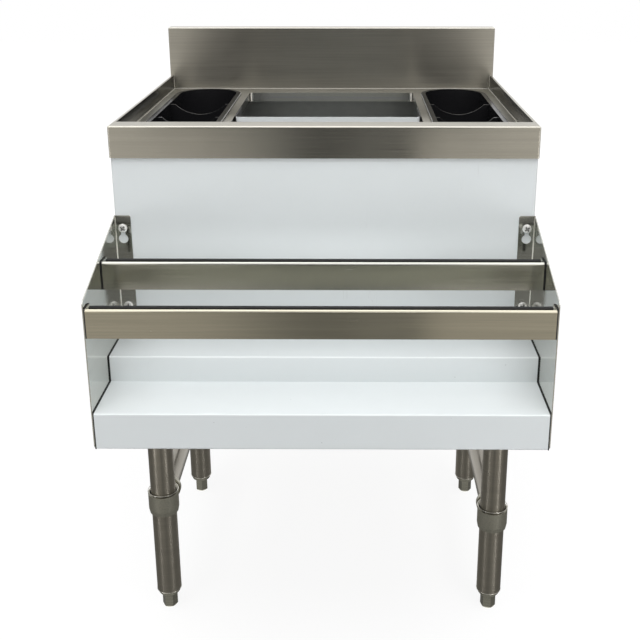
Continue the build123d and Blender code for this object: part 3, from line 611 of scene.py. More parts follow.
FINISHES = (
    Steel("brushed_front", (0.575, 0.555, 0.495), 0.19, Grain.ALONG, streak=0.05, relief=0.02,
          anisotropy=0.75, haze=0.04, flat_haze=0.18, bend_matte=0.5, bend_highlight=1.5,
          inside=0.3035),
    Steel("brushed_splash", (0.575, 0.555, 0.50), 0.31, Grain.ALONG, streak=0.05, relief=0.01,
          anisotropy=0.85, haze=0.04, bend_matte=0.5, bend_highlight=1.5),
    Steel("brushed_bars", (0.54, 0.505, 0.405), 0.20, Grain.ALONG, streak=0.05, relief=0.03,
          anisotropy=0.6, haze=0.05, bend_highlight=1.9, bend_matte=0.4),
    Steel("brushed_mid", (0.56, 0.56, 0.51), 0.20, Grain.ALONG, streak=0.05, relief=0.03,
          anisotropy=0.6, haze=0.05, bend_highlight=1.8, bend_matte=0.4),
    Steel("polished_plate", (0.62, 0.62, 0.58), 0.09, Grain.ALONG, streak=0.03, relief=0.02,
          anisotropy=0.2, haze=0.04, bend_matte=0.8, bend_highlight=1.4),
    Steel("plain_sheet", (0.52, 0.52, 0.50), 0.38, Grain.ROLLED, streak=0.05),
    # A lighter copy of plain_sheet: painted light for the bin's dim inside.
    Steel("liner_sheet", (0.64, 0.65, 0.63), 0.34, Grain.ROLLED, streak=0.04),
    Steel("drain_metal", (0.55, 0.55, 0.54), 0.22, Grain.AROUND),
    Steel("bright_metal", (0.72, 0.72, 0.71), 0.13, Grain.ROLLED, streak=0.02, haze=0.04,
          relief=0.02, anisotropy=0.0),
    # The screws get a painted shade in their recesses.
    Steel("screw_metal", (0.88, 0.88, 0.86), 0.32, Grain.ROLLED, streak=0.02, haze=0.04,
          relief=0.02, anisotropy=0.0, metallic=0.55, crevice_shade=0.9),
    Steel("weld_metal", (0.66, 0.65, 0.61), 0.22, Grain.ROLLED, streak=0.06, relief=0.05,
          anisotropy=0.0),
    Steel("dark_screws", (0.25, 0.24, 0.22), 0.25, Grain.ROLLED, streak=0.04, anisotropy=0.0),
    Steel("leg_tube", (0.42, 0.39, 0.335), 0.30, Grain.AROUND, streak=0.05, relief=0.05,
          anisotropy=0.9, bend_polish=0.0, bend_highlight=1.0),
    Steel("socket_metal", (0.42, 0.41, 0.38), 0.33, Grain.AROUND, relief=0.03,
          anisotropy=0.3),
    Steel("foot_metal", (0.62, 0.60, 0.51), 0.26, Grain.AROUND, anisotropy=0.6),
    # The hexagon's sideways facets get a painted shade.
    Steel("hexagon_metal", (0.66, 0.64, 0.54), 0.26, Grain.AROUND, relief=0.03,
          anisotropy=0.4, facet_shade=0.5),
    Steel("brace_tube", (0.33, 0.31, 0.27), 0.30, Grain.AROUND, streak=0.05, relief=0.05,
          anisotropy=0.6, bend_polish=0.0, bend_highlight=1.0),
    # Painted highlight: bright metal for the beads and rings laid along edges.
    Steel("painted_highlight_metal", (0.86, 0.84, 0.78), 0.40, Grain.ROLLED, streak=0.03, relief=0.02,
          anisotropy=0.0),
    Satin("white_satin", (0.78, 0.82, 0.83), (0.75, 0.79, 0.80), 0.42),
    # The upper shelf's top gets a painted shade.
    Satin("upper_satin", (0.78, 0.82, 0.83), (0.75, 0.79, 0.80), 0.42, top_shade=0.16),
    # The divider's arms get a painted shade.
    Satin("divider_satin", (0.84, 0.87, 0.88), (0.81, 0.84, 0.85), 0.42, side_shade_from=0.1478),
    # The wells' lips and the partitions' top edges get a painted highlight.
    Moulded("black_plastic", (0.010, 0.010, 0.011), 0.13, edge=(0.45, 0.45, 0.44),
            edge_height=0.826),
    Moulded("partition_plastic", (0.010, 0.010, 0.011), 0.15, edge=(0.10, 0.10, 0.10),
            edge_height=0.76, edge_flat=1.0),
    Moulded("black_rubber", (0.012, 0.012, 0.012), 0.62, skin=1500.0, relief=0.12),
    Moulded("insulation", (0.80, 0.70, 0.45), 0.85, skin=350.0, relief=0.5),
    Cast("cast_grey", (0.52, 0.505, 0.43), (0.35, 0.34, 0.29), 0.44, relief=0.12),
    Cast("drain_brass", (0.60, 0.46, 0.22), (0.42, 0.31, 0.14), 0.34, grain=250.0, relief=0.1),
)


def placed(name: str, data: bpy.types.ID) -> bpy.types.Object:
    """Makes an object from a mesh, lamp or camera, links it to the scene and returns it."""
    obj = bpy.data.objects.new(name, data)
    bpy.context.scene.collection.objects.link(obj)
    return obj


class FinishShop:
    """Makes every finish once and puts it on pieces and CAD nodes."""

    def __init__(self) -> None:
        """Builds the shared effects and all materials."""
        effects = Effects()
        self.materials = {finish.name: finish.make(effects) for finish in FINISHES}

    def dress(self, finish: str, *nodes: str) -> None:
        """Gives CAD nodes a finish in all their material slots.

        Args:
            finish: the finish's name.
            nodes: the nodes' names.
        """
        for node in nodes:
            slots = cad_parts[node].data.materials
            for index in range(len(slots)):
                slots[index] = self.materials[finish]
            if not len(slots):
                slots.append(self.materials[finish])

    def piece(
        self, name: str, mesh: Mesh, finish: str, body: str
    ) -> bpy.types.Object:
        """Makes a new piece of the object from a mesh.

        Args:
            name: the piece's name.
            mesh: its mesh, already in place.
            finish: the finish it gets.
            body: the CAD body it rides on.

        Returns:
            The new object.
        """
        obj = placed(name, mesh)
        mesh.materials.append(self.materials[finish])
        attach(obj, body)
        LOG.info("piece %s: %d faces", name, len(mesh.polygons))
        return obj


# Mesh building


def smooth_mesh(name: str, points: Array, faces: list) -> Mesh:
    """Makes a mesh that is smooth apart from its creases.

    Args:
        name: the mesh's name.
        points: its points, as rows of three.
        faces: the numbers of each face's points.

    Returns:
        The mesh.
    """
    mesh = bpy.data.meshes.new(name)
    mesh.from_pydata(points.reshape(-1, 3).tolist(), [], faces)
    mesh.polygons.foreach_set("use_smooth", np.ones(len(mesh.polygons), dtype=bool))
    mesh.set_sharp_from_angle(angle=CREASE)
    mesh.validate()
    mesh.update()
    return mesh


def rectangle(name: str, half: float, front: float, back: float, z: float) -> Mesh:
    """Makes a level rectangle by half its width, its ends in Y and its height."""
    corners = [(-half, front, z), (half, front, z), (half, back, z), (-half, back, z)]
    return smooth_mesh(name, np.array(corners), [[0, 1, 2, 3]])


def grid_faces(rows: int, columns: int, wrap: bool = True) -> Array:
    """Lays quads over a grid of points.

    Args:
        rows, columns: the size of the grid.
        wrap: whether the last column joins the first.

    Returns:
        The quads' corners, as numbers of points.
    """
    across = columns if wrap else columns - 1
    row, column = np.meshgrid(np.arange(rows - 1), np.arange(across), indexing="ij")
    near = row * columns + column
    far = row * columns + (column + 1) % columns
    return np.stack([near, far, far + columns, near + columns], axis=-1).reshape(-1, 4)


def solid_mesh(name: str, grids: list[Array]) -> Mesh:
    """Makes one mesh of closed surfaces, each of them a grid of points.

    Points in the same place become one, which closes the poles and the seams, and a quad
    with two corners in one place becomes a triangle. The volume is the sum over triangles
    of a . (b x c) / 6: where it is negative, the faces are turned round to look outwards.

    Args:
        name: the mesh's name.
        grids: for each surface its points, as rows by columns by three.

    Returns:
        The mesh.
    """
    points, quads, triangles, first = [], [], [], 0
    for grid in grids:
        places, index = np.unique(
            np.round(grid.reshape(-1, 3), MERGE_DECIMALS), axis=0, return_inverse=True
        )
        faces = index.reshape(-1)[grid_faces(*grid.shape[:2])]
        a, b, c, d = (places[faces[:, corner]] for corner in range(4))
        if np.sum(a * (np.cross(b, c) + np.cross(c, d))) < 0.0:
            faces = faces[:, ::-1]
        double = faces == np.roll(faces, -1, axis=1)
        count = double.sum(axis=1)
        quads.append(faces[count == 0] + first)
        triangles.append(faces[count == 1][~double[count == 1]].reshape(-1, 3) + first)
        points.append(places)
        first += len(places)
    faces = np.concatenate(quads).tolist() + np.concatenate(triangles).tolist()
    return smooth_mesh(name, np.concatenate(points), faces)


def turns(columns: int) -> Array:
    """The angle of each column of a grid that goes once round."""
    return np.arange(columns) * (2.0 * math.pi / columns)


def turned(radius: Array, along: Array, center: Point, axis: Point) -> Array:
    """Carries a profile round an axis.

    The point at angle t is the centre, plus the axis times its distance along it, plus
    the radius times (cos t, sin t) on the two directions square to the axis.

    Args:
        radius: distance from the axis, by row and column.
        along: distance along the axis, by row and column, or by row alone.
        center: the point of the axis from which the distance along it is counted.
        axis: the axis as a direction of length one.

    Returns:
        The grid of points, as rows by columns by three.
    """
    direction = np.array(axis, dtype=float)
    spare = (1.0, 0.0, 0.0) if abs(direction[0]) < 0.5 else UP
    first = np.cross(direction, spare)
    second = np.cross(direction, first)
    angle = turns(radius.shape[1])
    round_it = np.cos(angle)[:, None] * first + np.sin(angle)[:, None] * second
    height = np.broadcast_to(along if along.ndim == 2 else along[:, None], radius.shape)
    return np.array(center) + radius[..., None] * round_it + height[..., None] * direction


def even(radius: list[float] | Array, columns: int) -> Array:
    """Repeats a round profile's radii over all columns."""
    return np.repeat(np.array(radius, dtype=float)[:, None], columns, axis=1)


def hexagon(across: float, columns: int, turn_deg: float = 0.0) -> Array:
    """Radius of a hexagon at each column: half the width across flats over cos of the
    angle from the middle of the nearest flat.

    Args:
        across: the width across flats.
        columns: how many points go round.
        turn_deg: how far the hexagon is turned back.

    Returns:
        The radius by column.
    """
    sector = math.pi / 3.0
    from_flat = np.mod(turns(columns) + math.radians(turn_deg), sector) - sector / 2.0
    return across / 2.0 / np.cos(from_flat)


@dataclass(frozen=True)
class Thread:
    """A screw thread: the radius follows a triangle wave of the height in pitches less
    the turn, and the wave fades out over the last pitch at both ends."""

    radius: float
    depth: float
    pitch: float
    rows_per_turn: int = 8

    def rows(self, start: float, end: float, columns: int) -> tuple[Array, Array]:
        """The thread's rows between two heights.

        Args:
            start, end: the heights.
            columns: how many points go round.

        Returns:
            The radius by row and column, and the height by row.
        """
        count = int(self.rows_per_turn * abs(end - start) / self.pitch)
        height = np.linspace(start, end, count)
        phase = height[:, None] / self.pitch - np.arange(columns) / columns
        wave = np.abs(2.0 * (phase - np.floor(phase)) - 1.0)
        left = np.minimum(abs(height - start), abs(end - height))
        fade = np.clip(left / self.pitch, 0.0, 1.0)
        return self.radius - self.depth * wave * fade[:, None], height


@dataclass(frozen=True)
class Seam:
    """A bead along a straight line: a tube whose radius swells once in each pitch, and
    falls to nothing at both ends as the root of the distance from the end."""

    radius: float
    ripple: float
    pitch: float
    rows_per_ripple: int = 6
    least_rows: int = 12
    cap_reach: float = 1.5
    columns: int = 12

    def grid(self, start: Point, end: Point) -> Array:
        """The bead between two points.

        Args:
            start, end: the ends of its middle line.

        Returns:
            The grid of points.
        """
        low, high = np.array(start), np.array(end)
        length = float(np.linalg.norm(high - low))
        rows = max(int(length / self.pitch * self.rows_per_ripple), self.least_rows)
        along = np.linspace(0.0, length, rows)
        swell = 1.0 + self.ripple * np.sin(2.0 * math.pi * along / self.pitch)
        from_end = np.minimum(along, length - along)
        cap = np.sqrt(np.clip(from_end / (self.cap_reach * self.radius), 0.0, 1.0))
        profile = even(self.radius * swell * cap, self.columns)
        return turned(profile, along, start, tuple((high - low) / length))


# Sub-assemblies


@dataclass
class PanHeads:
    """The four pan-head screws with cross recesses that carry the rail."""

    seat_radius: float = 0.00615
    head_radius: float = 0.0066
    head_height: float = 0.0036
    head_rows: int = 34
    roundness: float = 2.7
    thread: Thread = Thread(radius=0.003, depth=0.0004, pitch=0.001)
    point: float = 0.0008
    point_share: float = 0.6
    arm_width: float = 0.0017
    arm_reach: float = 0.0038
    recess_depth: float = 0.0022
    recess_taper: float = 0.5
    recess_edge: float = 0.0003
    recess_turns_deg: tuple[float, ...] = (38.0, 8.0, 52.0, 27.0)
    columns: int = 120

    def recess(self, radius: Array, turn_deg: float) -> Array:
        """Depth of the cross at each point: full inside two crossed bars, whose borders
        are short ramps, and shallower towards the ends of the bars.

        Args:
            radius: distance from the screw's axis, by row and column.
            turn_deg: how far the cross is turned.

        Returns:
            The depth by row and column.
        """
        angle = turns(self.columns) + math.radians(turn_deg)
        a, b = np.abs(radius * np.cos(angle)), np.abs(radius * np.sin(angle))

        def bar(length: Array, side: Array) -> Array:
            """Share of the depth inside one bar."""
            across = np.clip((self.arm_width / 2 - side) / self.recess_edge + 0.5, 0.0, 1.0)
            ends = np.clip((self.arm_reach - length) / self.recess_edge + 0.5, 0.0, 1.0)
            return across * ends

        inside = np.maximum(bar(a, b), bar(b, a))
        taper = 1.0 - self.recess_taper * radius / self.arm_reach
        return inside * self.recess_depth * taper

    def screw(self, center: Point, length: float, turn_deg: float) -> Array:
        """One screw, head towards -Y.

        The head's section is a superellipse: (radius / R)^n + (height / H)^n = 1. Below
        it come the flat seat, the threaded shank and a short point.

        Args:
            center: the middle of the seat.
            length: the shank's length.
            turn_deg: how far the cross is turned.

        Returns:
            The grid of points.
        """
        sweep = np.linspace(0.0, math.pi / 2, self.head_rows)
        power = 2.0 / self.roundness
        dome = even(self.head_radius * np.sin(sweep) ** power, self.columns)
        rise = self.head_height * np.cos(sweep)[:, None] ** power
        rise = rise - self.recess(dome, turn_deg)
        shank, depth = self.thread.rows(0.0, self.point - length, self.columns)
        tip = even([self.point_share * self.thread.radius, 0.0], self.columns)
        radius = np.concatenate([dome, shank, tip])
        low = np.array([-length, -length])
        along = np.concatenate([rise, even(np.concatenate([depth, low]), self.columns)])
        return turned(radius, along, center, FRONT)

    def mesh(self) -> Mesh:
        """Four screws on the axes of the CAD group's, whose heads touch its box.

        Returns:
            The mesh of all four.
        """
        (left, front, low), (right, back, high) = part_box("rail_screws")
        seat = front + self.head_height
        places = [
            (x, seat, z)
            for x in (left + self.seat_radius, right - self.seat_radius)
            for z in (high - self.seat_radius, low + self.seat_radius)
        ]
        grids = [
            self.screw(place, back - seat, turn)
            for place, turn in zip(places, self.recess_turns_deg)
        ]
        return solid_mesh("rail_pan_heads", grids)


@dataclass
class Cabinet:
    """The deck, the backsplash, the outer panels and what lies inside them."""

    plain: tuple[str, ...] = (
        "left_side_panel", "right_side_panel", "back_panel", "bottom_panel",
        "left_mount_strip", "right_mount_strip",
    )
    screws: PanHeads = field(default_factory=PanHeads)
    deck_drop: float = 0.025
    rim_width: float = 0.006
    corner_inset: float = 0.0016
    wall_seam: Seam = Seam(radius=0.0013, ripple=0.10, pitch=0.0022)
    rim_seam: Seam = Seam(radius=0.0016, ripple=0.16, pitch=0.0022)
    upright_seam: Seam = Seam(radius=0.00128, ripple=0.12, pitch=0.0022)

    def seams(self) -> Mesh:
        """The weld that joins the backsplash to the deck, and one at each rim corner.

        Returns:
            The mesh of all of them.
        """
        right, _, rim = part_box("top_deck")[1]
        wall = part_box("backsplash")[0][1]
        deck = rim - self.deck_drop
        inner = right - self.rim_width
        beads = [self.wall_seam.grid((-inner, wall, deck), (inner, wall, deck))]
        for _, sign in SIDES:
            outer, within = sign * (right - self.corner_inset), sign * inner
            beads.append(self.rim_seam.grid((outer, wall, rim), (within, wall, rim)))
            beads.append(self.upright_seam.grid((within, wall, rim), (within, wall, deck)))
        return solid_mesh("deck_seams", beads)

    def build(self, shop: FinishShop) -> None:
        """Dresses the cabinet's nodes and adds its screws and weld seams.

        Args:
            shop: where the finishes are made.
        """
        shop.dress("brushed_front", "top_deck")
        shop.dress("brushed_splash", "backsplash")
        shop.dress("white_satin", "front_panel")
        shop.dress("plain_sheet", *self.plain)
        shop.dress("liner_sheet", "ice_liner")
        shop.dress("insulation", "foam_insulation")
        shop.dress("drain_metal", "drain_flange", "drain_strainer")
        shop.dress("drain_brass", "drain_locknut")
        shop.dress("divider_satin", "ice_divider")
        for side, _ in SIDES:
            shop.dress("black_plastic", f"{side}_bottle_well")
            shop.dress("partition_plastic", f"{side}_well_partitions")
        shop.dress("screw_metal", "rail_screws")
        heads = shop.piece(
            "rail_pan_heads", self.screws.mesh(), "screw_metal", "cabinet"
        )
        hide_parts("rail_screws")
        shop.piece("deck_seams", self.seams(), "weld_metal", "cabinet")


@dataclass
class SpeedRail:
    """The stepped bottle rail with its brackets, bars, shelves, strips and rivets."""

    rivet_radius: float = 0.0024
    rivet_head: float = 0.0045
    rivet_height: float = 0.003
    rivet_roundness: float = 2.3
    rivet_setback: float = 0.017
    rivet_drop: float = 0.009
    rivet_rows: int = 16
    rivet_columns: int = 48
    gauge: float = 0.0012
    plate: float = 0.0015
    bend: Seam = Seam(radius=0.0009, ripple=0.0, pitch=0.01)

    def rivets(self) -> Mesh:
        """Four rivets: a flush stem through the bracket and a dome inside the bar's ear.

        The dome's section is a superellipse.

        Returns:
            The mesh of all four.
        """
        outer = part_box("left_rail_bracket")[0][0]
        sweep = np.linspace(math.pi / 2, 0.0, self.rivet_rows)
        power = 2.0 / self.rivet_roundness
        dome = self.rivet_head * np.sin(sweep) ** power
        rise = -self.rivet_height * np.cos(sweep) ** power
        stem_radii = [0.0, self.rivet_radius, self.rivet_radius]
        radius = even(np.concatenate([stem_radii, dome]), self.rivet_columns)
        grids = []
        for bar in ("front_bar", "mid_bar"):
            (_, front, _), (right, _, top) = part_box(bar)
            head = right - self.gauge
            stem = -outer - head
            along = np.concatenate([[stem, stem, 0.0], rise])
            for _, sign in SIDES:
                center = (sign * head, front + self.rivet_setback, top - self.rivet_drop)
                grids.append(turned(radius, along, center, (sign, 0.0, 0.0)))
        return solid_mesh("domed_rivets", grids)

    def bends(self) -> Mesh:
        """A painted highlight on the inner bend of each bracket's flange: a thin even bead
        along the corner between plate and flange, from the upper shelf to the bracket's top.

        Returns:
            The mesh of both.
        """
        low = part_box("upper_shelf")[1][2] + self.bend.radius
        outer, back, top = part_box("right_rail_bracket")[1]
        high, y = top - self.bend.radius, back - self.plate
        beads = []
        for _, sign in SIDES:
            x = sign * (outer - self.plate)
            beads.append(self.bend.grid((x, y, low), (x, y, high)))
        return solid_mesh("bracket_bends", beads)

    def build(self, shop: FinishShop) -> None:
        """Dresses the rail's nodes and puts in its domed rivets and painted highlight bends.

        Args:
            shop: where the finishes are made.
        """
        for side, _ in SIDES:
            shop.dress("polished_plate", f"{side}_rail_bracket")
            shop.dress("black_rubber", f"{side}_rail_seals")
        shop.dress("brushed_bars", "front_bar")
        shop.dress("brushed_mid", "mid_bar")
        shop.dress("black_rubber", "front_bar_bumper", "mid_bar_bumper")
        shop.dress("white_satin", "lower_shelf")
        shop.dress("upper_satin", "upper_shelf")
        shop.dress("bright_metal", "bar_rivets")
        rivets = shop.piece(
            "domed_rivets", self.rivets(), "bright_metal", "speed_rail"
        )
        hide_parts("bar_rivets")
        # Painted highlight: bright beads along the brackets' inner bends.
        shop.piece("bracket_bends", self.bends(), "painted_highlight_metal", "speed_rail")


def upright_axis(node: str) -> tuple[Point, float]:
    """The foot of a node's upright middle line on the floor, and half the node's width."""
    low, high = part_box(node)
    return ((low[0] + high[0]) / 2, (low[1] + high[1]) / 2, 0.0), (high[0] - low[0]) / 2


@dataclass
class Stand:
    """The four legs with their sockets, collars, braces, inserts and feet."""

    hex_across: float = 0.0226
    hex_turns_deg: tuple[float, ...] = (30.0, 45.0, 50.0, 35.0)
    tip_radius: float = 0.008
    tip_height: float = 0.0037
    tip_rows: int = 7
    shoulder_radius: float = 0.019
    shoulder_height: float = 0.008
    shoulder_top: float = 0.0347
    shoulder_rows: int = 14
    foot_thread: Thread = Thread(radius=0.008, depth=0.0009, pitch=0.002)
    foot_columns: int = 72
    point: float = 0.0012
    point_share: float = 0.8
    screw_thread: Thread = Thread(radius=0.003, depth=0.0004, pitch=0.001)
    screw_socket: float = 0.003
    screw_socket_depth: float = 0.002
    screw_edge: float = 0.0004
    screw_columns: int = 48
    socket_reach: float = 0.024
    socket_rise: float = 0.012
    collar_reach: float = 0.0252
    bead: float = 0.0006
    bead_sink: float = 0.3
    bead_rows: int = 13
    bead_columns: int = 96

    def foot(self, corner: str) -> Array:
        """One foot, from its tip up.

        The tip is the lesser of a cone and the hexagon at each angle, the shoulder is a
        quarter of an ellipse that grows out of the hexagon, and a thread stands on it.

        Args:
            corner: the leg's corner.

        Returns:
            The grid of points.
        """
        columns = self.foot_columns
        center, _ = upright_axis(f"{corner}_foot")
        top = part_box(f"{corner}_foot")[1][2]
        flats = hexagon(self.hex_across, columns, self.hex_turns_deg[CORNERS.index(corner)])
        rise = np.linspace(0.0, 1.0, self.tip_rows)
        cone = self.tip_radius + rise * (flats.max() - self.tip_radius)
        tip = np.minimum(cone[:, None], flats)
        sweep = np.linspace(0.0, 1.0, self.shoulder_rows)
        swell = np.sqrt(1.0 - (1.0 - sweep) ** 2)[:, None]
        shoulder = flats + swell * (self.shoulder_radius - flats)
        bottom = self.shoulder_top - self.shoulder_height
        stem, height = self.foot_thread.rows(self.shoulder_top, top - self.point, columns)
        end = even([self.point_share * self.foot_thread.radius, 0.0], columns)
        start = even([0.0], columns)
        radius = np.concatenate([start, tip, flats[None, :], shoulder, stem, end])
        rising = bottom + sweep * self.shoulder_height
        along = [[0.0], rise * self.tip_height, [bottom], rising, height, [top, top]]
        return turned(radius, np.concatenate(along), center, UP)

    def set_screw(self, center: Point, length: float, sign: float) -> Array:
        """One headless screw along X: a hexagon socket, a bevel, a threaded body.

        Args:
            center: the middle of its outer end.
            length: its length.
            sign: the side that its outer end looks to.

        Returns:
            The grid of points.
        """
        columns, bevel = self.screw_columns, self.screw_edge
        rim = self.screw_thread.radius - bevel
        hole = hexagon(self.screw_socket, columns)[None, :]
        body, depth = self.screw_thread.rows(-bevel, bevel - length, columns)
        start, end = even([0.0], columns), even([rim, 0.0], columns)
        radius = np.concatenate([start, hole, hole, even([rim], columns), body, end])
        floor = -self.screw_socket_depth
        along = np.concatenate([[floor, floor, 0.0, 0.0], depth, [-length, -length]])
        return turned(radius, along, center, (sign, 0.0, 0.0))

    def set_screws(self) -> Mesh:
        """The eight set screws, one in each socket and one in each collar.

        Returns:
            The mesh of all eight.
        """
        grids = []
        for corner in CORNERS:
            (x, y, _), radius = upright_axis(f"{corner}_leg")
            sign = math.copysign(1.0, x)
            socket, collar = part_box(f"{corner}_leg_socket"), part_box(f"{corner}_collar")
            in_socket = (socket[0][2] + self.socket_rise, self.socket_reach)
            in_collar = ((collar[0][2] + collar[1][2]) / 2, self.collar_reach)
            for z, reach in (in_socket, in_collar):
                center = (x + sign * reach, y, z)
                grids.append(self.set_screw(center, reach - radius, sign))
        return solid_mesh("socket_set_screws", grids)

    def edge_beads(self) -> Mesh:
        """Painted highlights: a fine bright ring round the foot of each leg and round the
        top of each collar. A ring is a small circle carried round the leg's axis.

        Returns:
            The mesh of all eight rings.
        """
        sweep = np.linspace(0.0, 2.0 * math.pi, self.bead_rows)
        grids = []
        for corner in CORNERS:
            center, leg_radius = upright_axis(f"{corner}_leg")
            end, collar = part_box(f"{corner}_leg")[0][2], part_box(f"{corner}_collar")
            outer = min(center[1] - collar[0][1], collar[1][1] - center[1])
            for radius, height in ((leg_radius, end), (outer, collar[1][2])):
                ring = radius + self.bead * (np.cos(sweep) - self.bead_sink)
                along = height + self.bead * np.sin(sweep)
                grids.append(turned(even(ring, self.bead_columns), along, center, UP))
        return solid_mesh("edge_beads", grids)

    def build(self, shop: FinishShop) -> None:
        """Dresses the stand's nodes, puts in threaded feet, painted highlight rings, set
        screws.

        Args:
            shop: where the finishes are made.
        """
        for corner in CORNERS:
            shop.dress("leg_tube", f"{corner}_leg")
            shop.dress("socket_metal", f"{corner}_leg_socket")
            shop.dress("cast_grey", f"{corner}_collar")
            shop.dress("foot_metal", f"{corner}_leg_insert", f"{corner}_foot")
            foot = shop.piece(
                f"{corner}_bullet_foot",
                solid_mesh(f"{corner}_bullet_foot", [self.foot(corner)]),
                "hexagon_metal", f"{corner}_foot_screw",
            )
            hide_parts(f"{corner}_foot")
        shop.dress("brace_tube", "left_brace", "right_brace")
        # Painted highlight rings round the legs' feet and the collars' tops.
        shop.piece("edge_beads", self.edge_beads(), "painted_highlight_metal", "cabinet")
        shop.dress("bright_metal", "leg_set_screws")
        screws = shop.piece(
            "socket_set_screws", self.set_screws(), "dark_screws", "cabinet"
        )
        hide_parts("leg_set_screws")


# Studio and camera


@dataclass(frozen=True)
class Lamp:
    """A rectangular soft lamp that looks at a point."""

    name: str
    place: Point
    target: Point
    size: Span
    watts: float
    mirrored: bool = False

    def build(self) -> None:
        """Adds the lamp to the scene, seen in metal only where it is mirrored."""
        data = bpy.data.lights.new(self.name, "AREA")
        data.shape = "RECTANGLE"
        data.size, data.size_y = self.size
        data.energy = self.watts
        lamp = placed(self.name, data)
        away = Vector(self.place) - Vector(self.target)
        lamp.location = self.place
        lamp.rotation_euler = away.to_track_quat("Z", "Y").to_euler()
        lamp.visible_glossy = self.mirrored


@dataclass
class Studio:
    """White surroundings, soft lamps and the grey screens that the metal reflects."""

    floor_half: float = 9.0
    floor_color: Color = (0.20, 0.20, 0.20)
    floor_rough: float = 0.9
    floor_glow: float = 0.87
    floor_fade: Span = (0.9, 2.2)
    ambient: float = 0.35
    screen_y: float = -1.25
    screen_half: float = 1.7
    screen_back: float = 1.3
    screen_top: float = 2.6
    screen_foot: float = 0.6
    screen_turn: float = 0.4
    screen_lift: float = 0.004
    screen_rows: int = 13
    dark_tint: Color = (1.0, 1.0, 0.95)
    light_tint: Color = (1.0, 0.965, 0.89)
    narrow: tuple[Span, Span] = ((-0.35, -0.03), (0.188, 0.214))
    wide: tuple[Span, Span] = ((-0.56, -0.38), (0.22, 0.52))
    wide_from: Span = (0.65, 0.72)
    glint_edges: tuple[Span, Span] = ((0.038, 0.052), (0.152, 0.13))
    glint: float = 0.06
    rise: Span = (0.36, 0.56)
    level: float = 0.60
    low_level: float = 0.47
    dark: float = 0.085
    low_dark: float = 0.20
    floor_level: float = 0.20
    wing_from: Span = (0.25, 0.7)
    wing_level: float = 0.16
    lamps: tuple[Lamp, ...] = (
        Lamp("overhead", (0.0, -0.7, 2.7), (0.0, -0.1, 0.7), (2.6, 2.2), 54.0),
        Lamp("front", (0.3, -3.4, 1.9), (0.0, 0.0, 0.6), (2.8, 1.8), 26.0),
        Lamp("strip_left", (-1.15, -1.15, 0.24), (0.0, 0.0, 0.2), (0.42, 0.42), 2.4, True),
        Lamp("strip_right", (0.95, -1.15, 0.24), (0.0, 0.0, 0.2), (0.36, 0.42), 2.6, True),
    )

    def build(self) -> None:
        """Makes the world, the floor, the reflected screens and the lamps."""
        self._world()
        self._floor()
        self._screen()
        for lamp in self.lamps:
            lamp.build()

    def _world(self) -> None:
        """White for the eye and for reflections, a plain soft level for the light."""
        world = bpy.data.worlds.new("studio_world")
        world.use_nodes = True
        world.node_tree.nodes.clear()
        net = Net(world.node_tree)
        strength = net.ramp(net.seen(), 0.0, 1.0, self.ambient, 1.0)
        sky = net.add("Background", {"Color": WHITE, "Strength": strength})
        net.add("OutputWorld", {"Surface": sky.outputs[0]})
        bpy.context.scene.world = world

    def _floor(self) -> None:
        """A pale floor that glows a little for the eye, so it is white outside the shadow."""
        half = self.floor_half
        mesh = rectangle("studio_floor", half, -half, half, 0.0)
        floor = placed("studio_floor", mesh)
        net = Surface("studio_floor")
        far = net.add("VectorMath", {0: net.at}, operation="LENGTH").outputs[1]
        glow = net.ramp(far, *self.floor_fade, self.floor_glow, 1.0)
        net.shade(
            Base_Color=self.floor_color,
            Roughness=self.floor_rough,
            Specular_IOR_Level=0.0,
            Emission_Color=WHITE,
            Emission_Strength=net.times(net.seen(), glow),
        )
        mesh.materials.append(net.material)

    def _screen(self) -> None:
        """The grey screen in front and at the sides, seen only in reflections.

        Its plan is a U, and its section is a line along the floor, a quarter round and an
        upright line: each point of the plan is carried up that section, which leans
        outwards along the plan's normal.
        """
        turn, lift = self.screen_turn, self.screen_lift
        half, front, back = self.screen_half - turn, self.screen_y + turn, self.screen_back
        plan = np.array([(-half, back), (-half, front), (half, front), (half, back)])
        outwards = np.array([(-1.0, 0.0), (-1.0, -1.0), (1.0, -1.0), (1.0, 0.0)])
        angle = np.linspace(0.0, math.pi / 2, self.screen_rows)
        reach = np.concatenate([turn * np.sin(angle), [turn]])
        height = np.concatenate([turn - turn * np.cos(angle), [self.screen_top]]) + lift
        points = np.zeros((len(reach), len(plan), 3))
        points[..., :2] = plan + reach[:, None, None] * outwards
        points[..., 2] = height[:, None]
        faces = grid_faces(len(reach), len(plan), wrap=False).tolist()
        self._unseen(smooth_mesh("studio_screen", points, faces), self._upright_level)
        ground = rectangle("studio_ground", half, front, self.screen_foot, lift)
        self._unseen(ground, self._ground_level)

    def _unseen(
        self, mesh: Mesh, level: Callable[[Surface], tuple[Value, Value]]
    ) -> None:
        """Stages a glowing sheet that only reflections see.

        Args:
            mesh: the sheet.
            level: gives the share of the light tint and the strength at each point.
        """
        screen = placed(mesh.name, mesh)
        net = Surface(mesh.name, "Emission")
        share, strength = level(net)
        net.shade(Color=net.mix(share, self.dark_tint, self.light_tint), Strength=strength)
        mesh.materials.append(net.material)
        for ray in ("camera", "diffuse", "transmission", "volume_scatter", "shadow"):
            setattr(screen, f"visible_{ray}", False)

    def _upright_level(self, net: Surface) -> tuple[Value, Value]:
        """Brightness of the upright screen: light at its sides, dark in the middle.

        The dark part is wider above, where the backsplash looks, and less dark below,
        where the bars look. The wings beside the object have a level of their own.

        Args:
            net: the material in the making.

        Returns:
            The share of light and the strength.
        """
        x, y, z = net.parts(net.at)

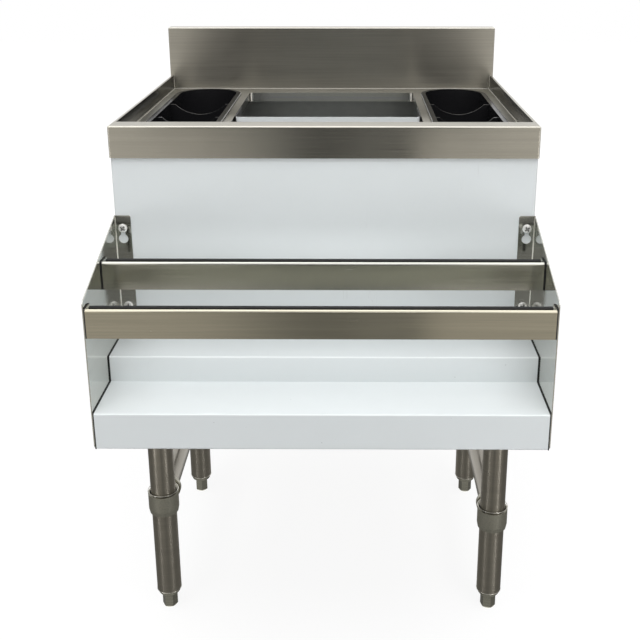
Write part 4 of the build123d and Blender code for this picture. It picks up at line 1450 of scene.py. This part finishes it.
        def beside_dark(edges: tuple[Span, Span]) -> Socket:
            """Share of light beside a dark part with these two edges."""
            (left, right) = edges
            return net.math("MAXIMUM", net.ramp(x, *left, 1.0, 0.0), net.ramp(x, *right))

        high = net.ramp(z, *self.wide_from)
        side = net.between(high, beside_dark(self.narrow), beside_dark(self.wide))
        glint_start, glint_end = self.glint_edges
        glint = net.times(net.ramp(x, *glint_start), net.ramp(x, *glint_end))
        middle = net.ramp(z, *self.rise, self.low_dark, self.dark)
        middle = net.plus(middle, net.times(glint, self.glint))
        level = net.ramp(z, *self.rise, self.low_level, self.level)
        near, far = self.wing_from
        wings = net.ramp(y, self.screen_y + near, self.screen_y + far)
        strength = net.between(wings, net.between(side, middle, level), self.wing_level)
        return side, strength

    def _ground_level(self, net: Surface) -> tuple[Value, Value]:
        """Brightness of the sheet on the floor, which the legs look at: one soft grey."""
        return 0.0, self.floor_level


@dataclass
class Viewpoint:
    """The camera: where it stands and how its picture is framed, for a square picture."""

    place: Point = (0.0416, -1.5299, 1.1195)
    pitch_deg: float = 18.14
    yaw_deg: float = 0.33
    focal_share: float = 981.5 / 640.0
    sensor: float = 36.0
    shift: Span = (-0.0437, -0.1050)
    clip: Span = (0.05, 60.0)

    def build(self) -> None:
        """Makes the camera and hands it to the scene."""
        data = bpy.data.cameras.new("studio_camera")
        data.sensor_width = self.sensor
        data.lens = self.sensor * self.focal_share
        data.shift_x, data.shift_y = self.shift
        data.clip_start, data.clip_end = self.clip
        camera = placed("studio_camera", data)
        camera.location = self.place
        camera.rotation_euler = (
            math.radians(90.0 - self.pitch_deg), 0.0, math.radians(self.yaw_deg)
        )
        bpy.context.scene.camera = camera


def main() -> None:
    """Builds the sub-assemblies in order, then the studio and the camera."""
    logging.basicConfig(level=logging.INFO, format="%(name)s: %(message)s")
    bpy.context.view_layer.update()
    shop = FinishShop()
    for assembly in (Cabinet(), SpeedRail(), Stand()):
        assembly.build(shop)
        LOG.info("dressed %s", type(assembly).__name__)
    Studio().build()
    Viewpoint().build()
    scene = bpy.context.scene
    scene.view_settings.view_transform = "Standard"


if __name__ == "__main__":
    main()
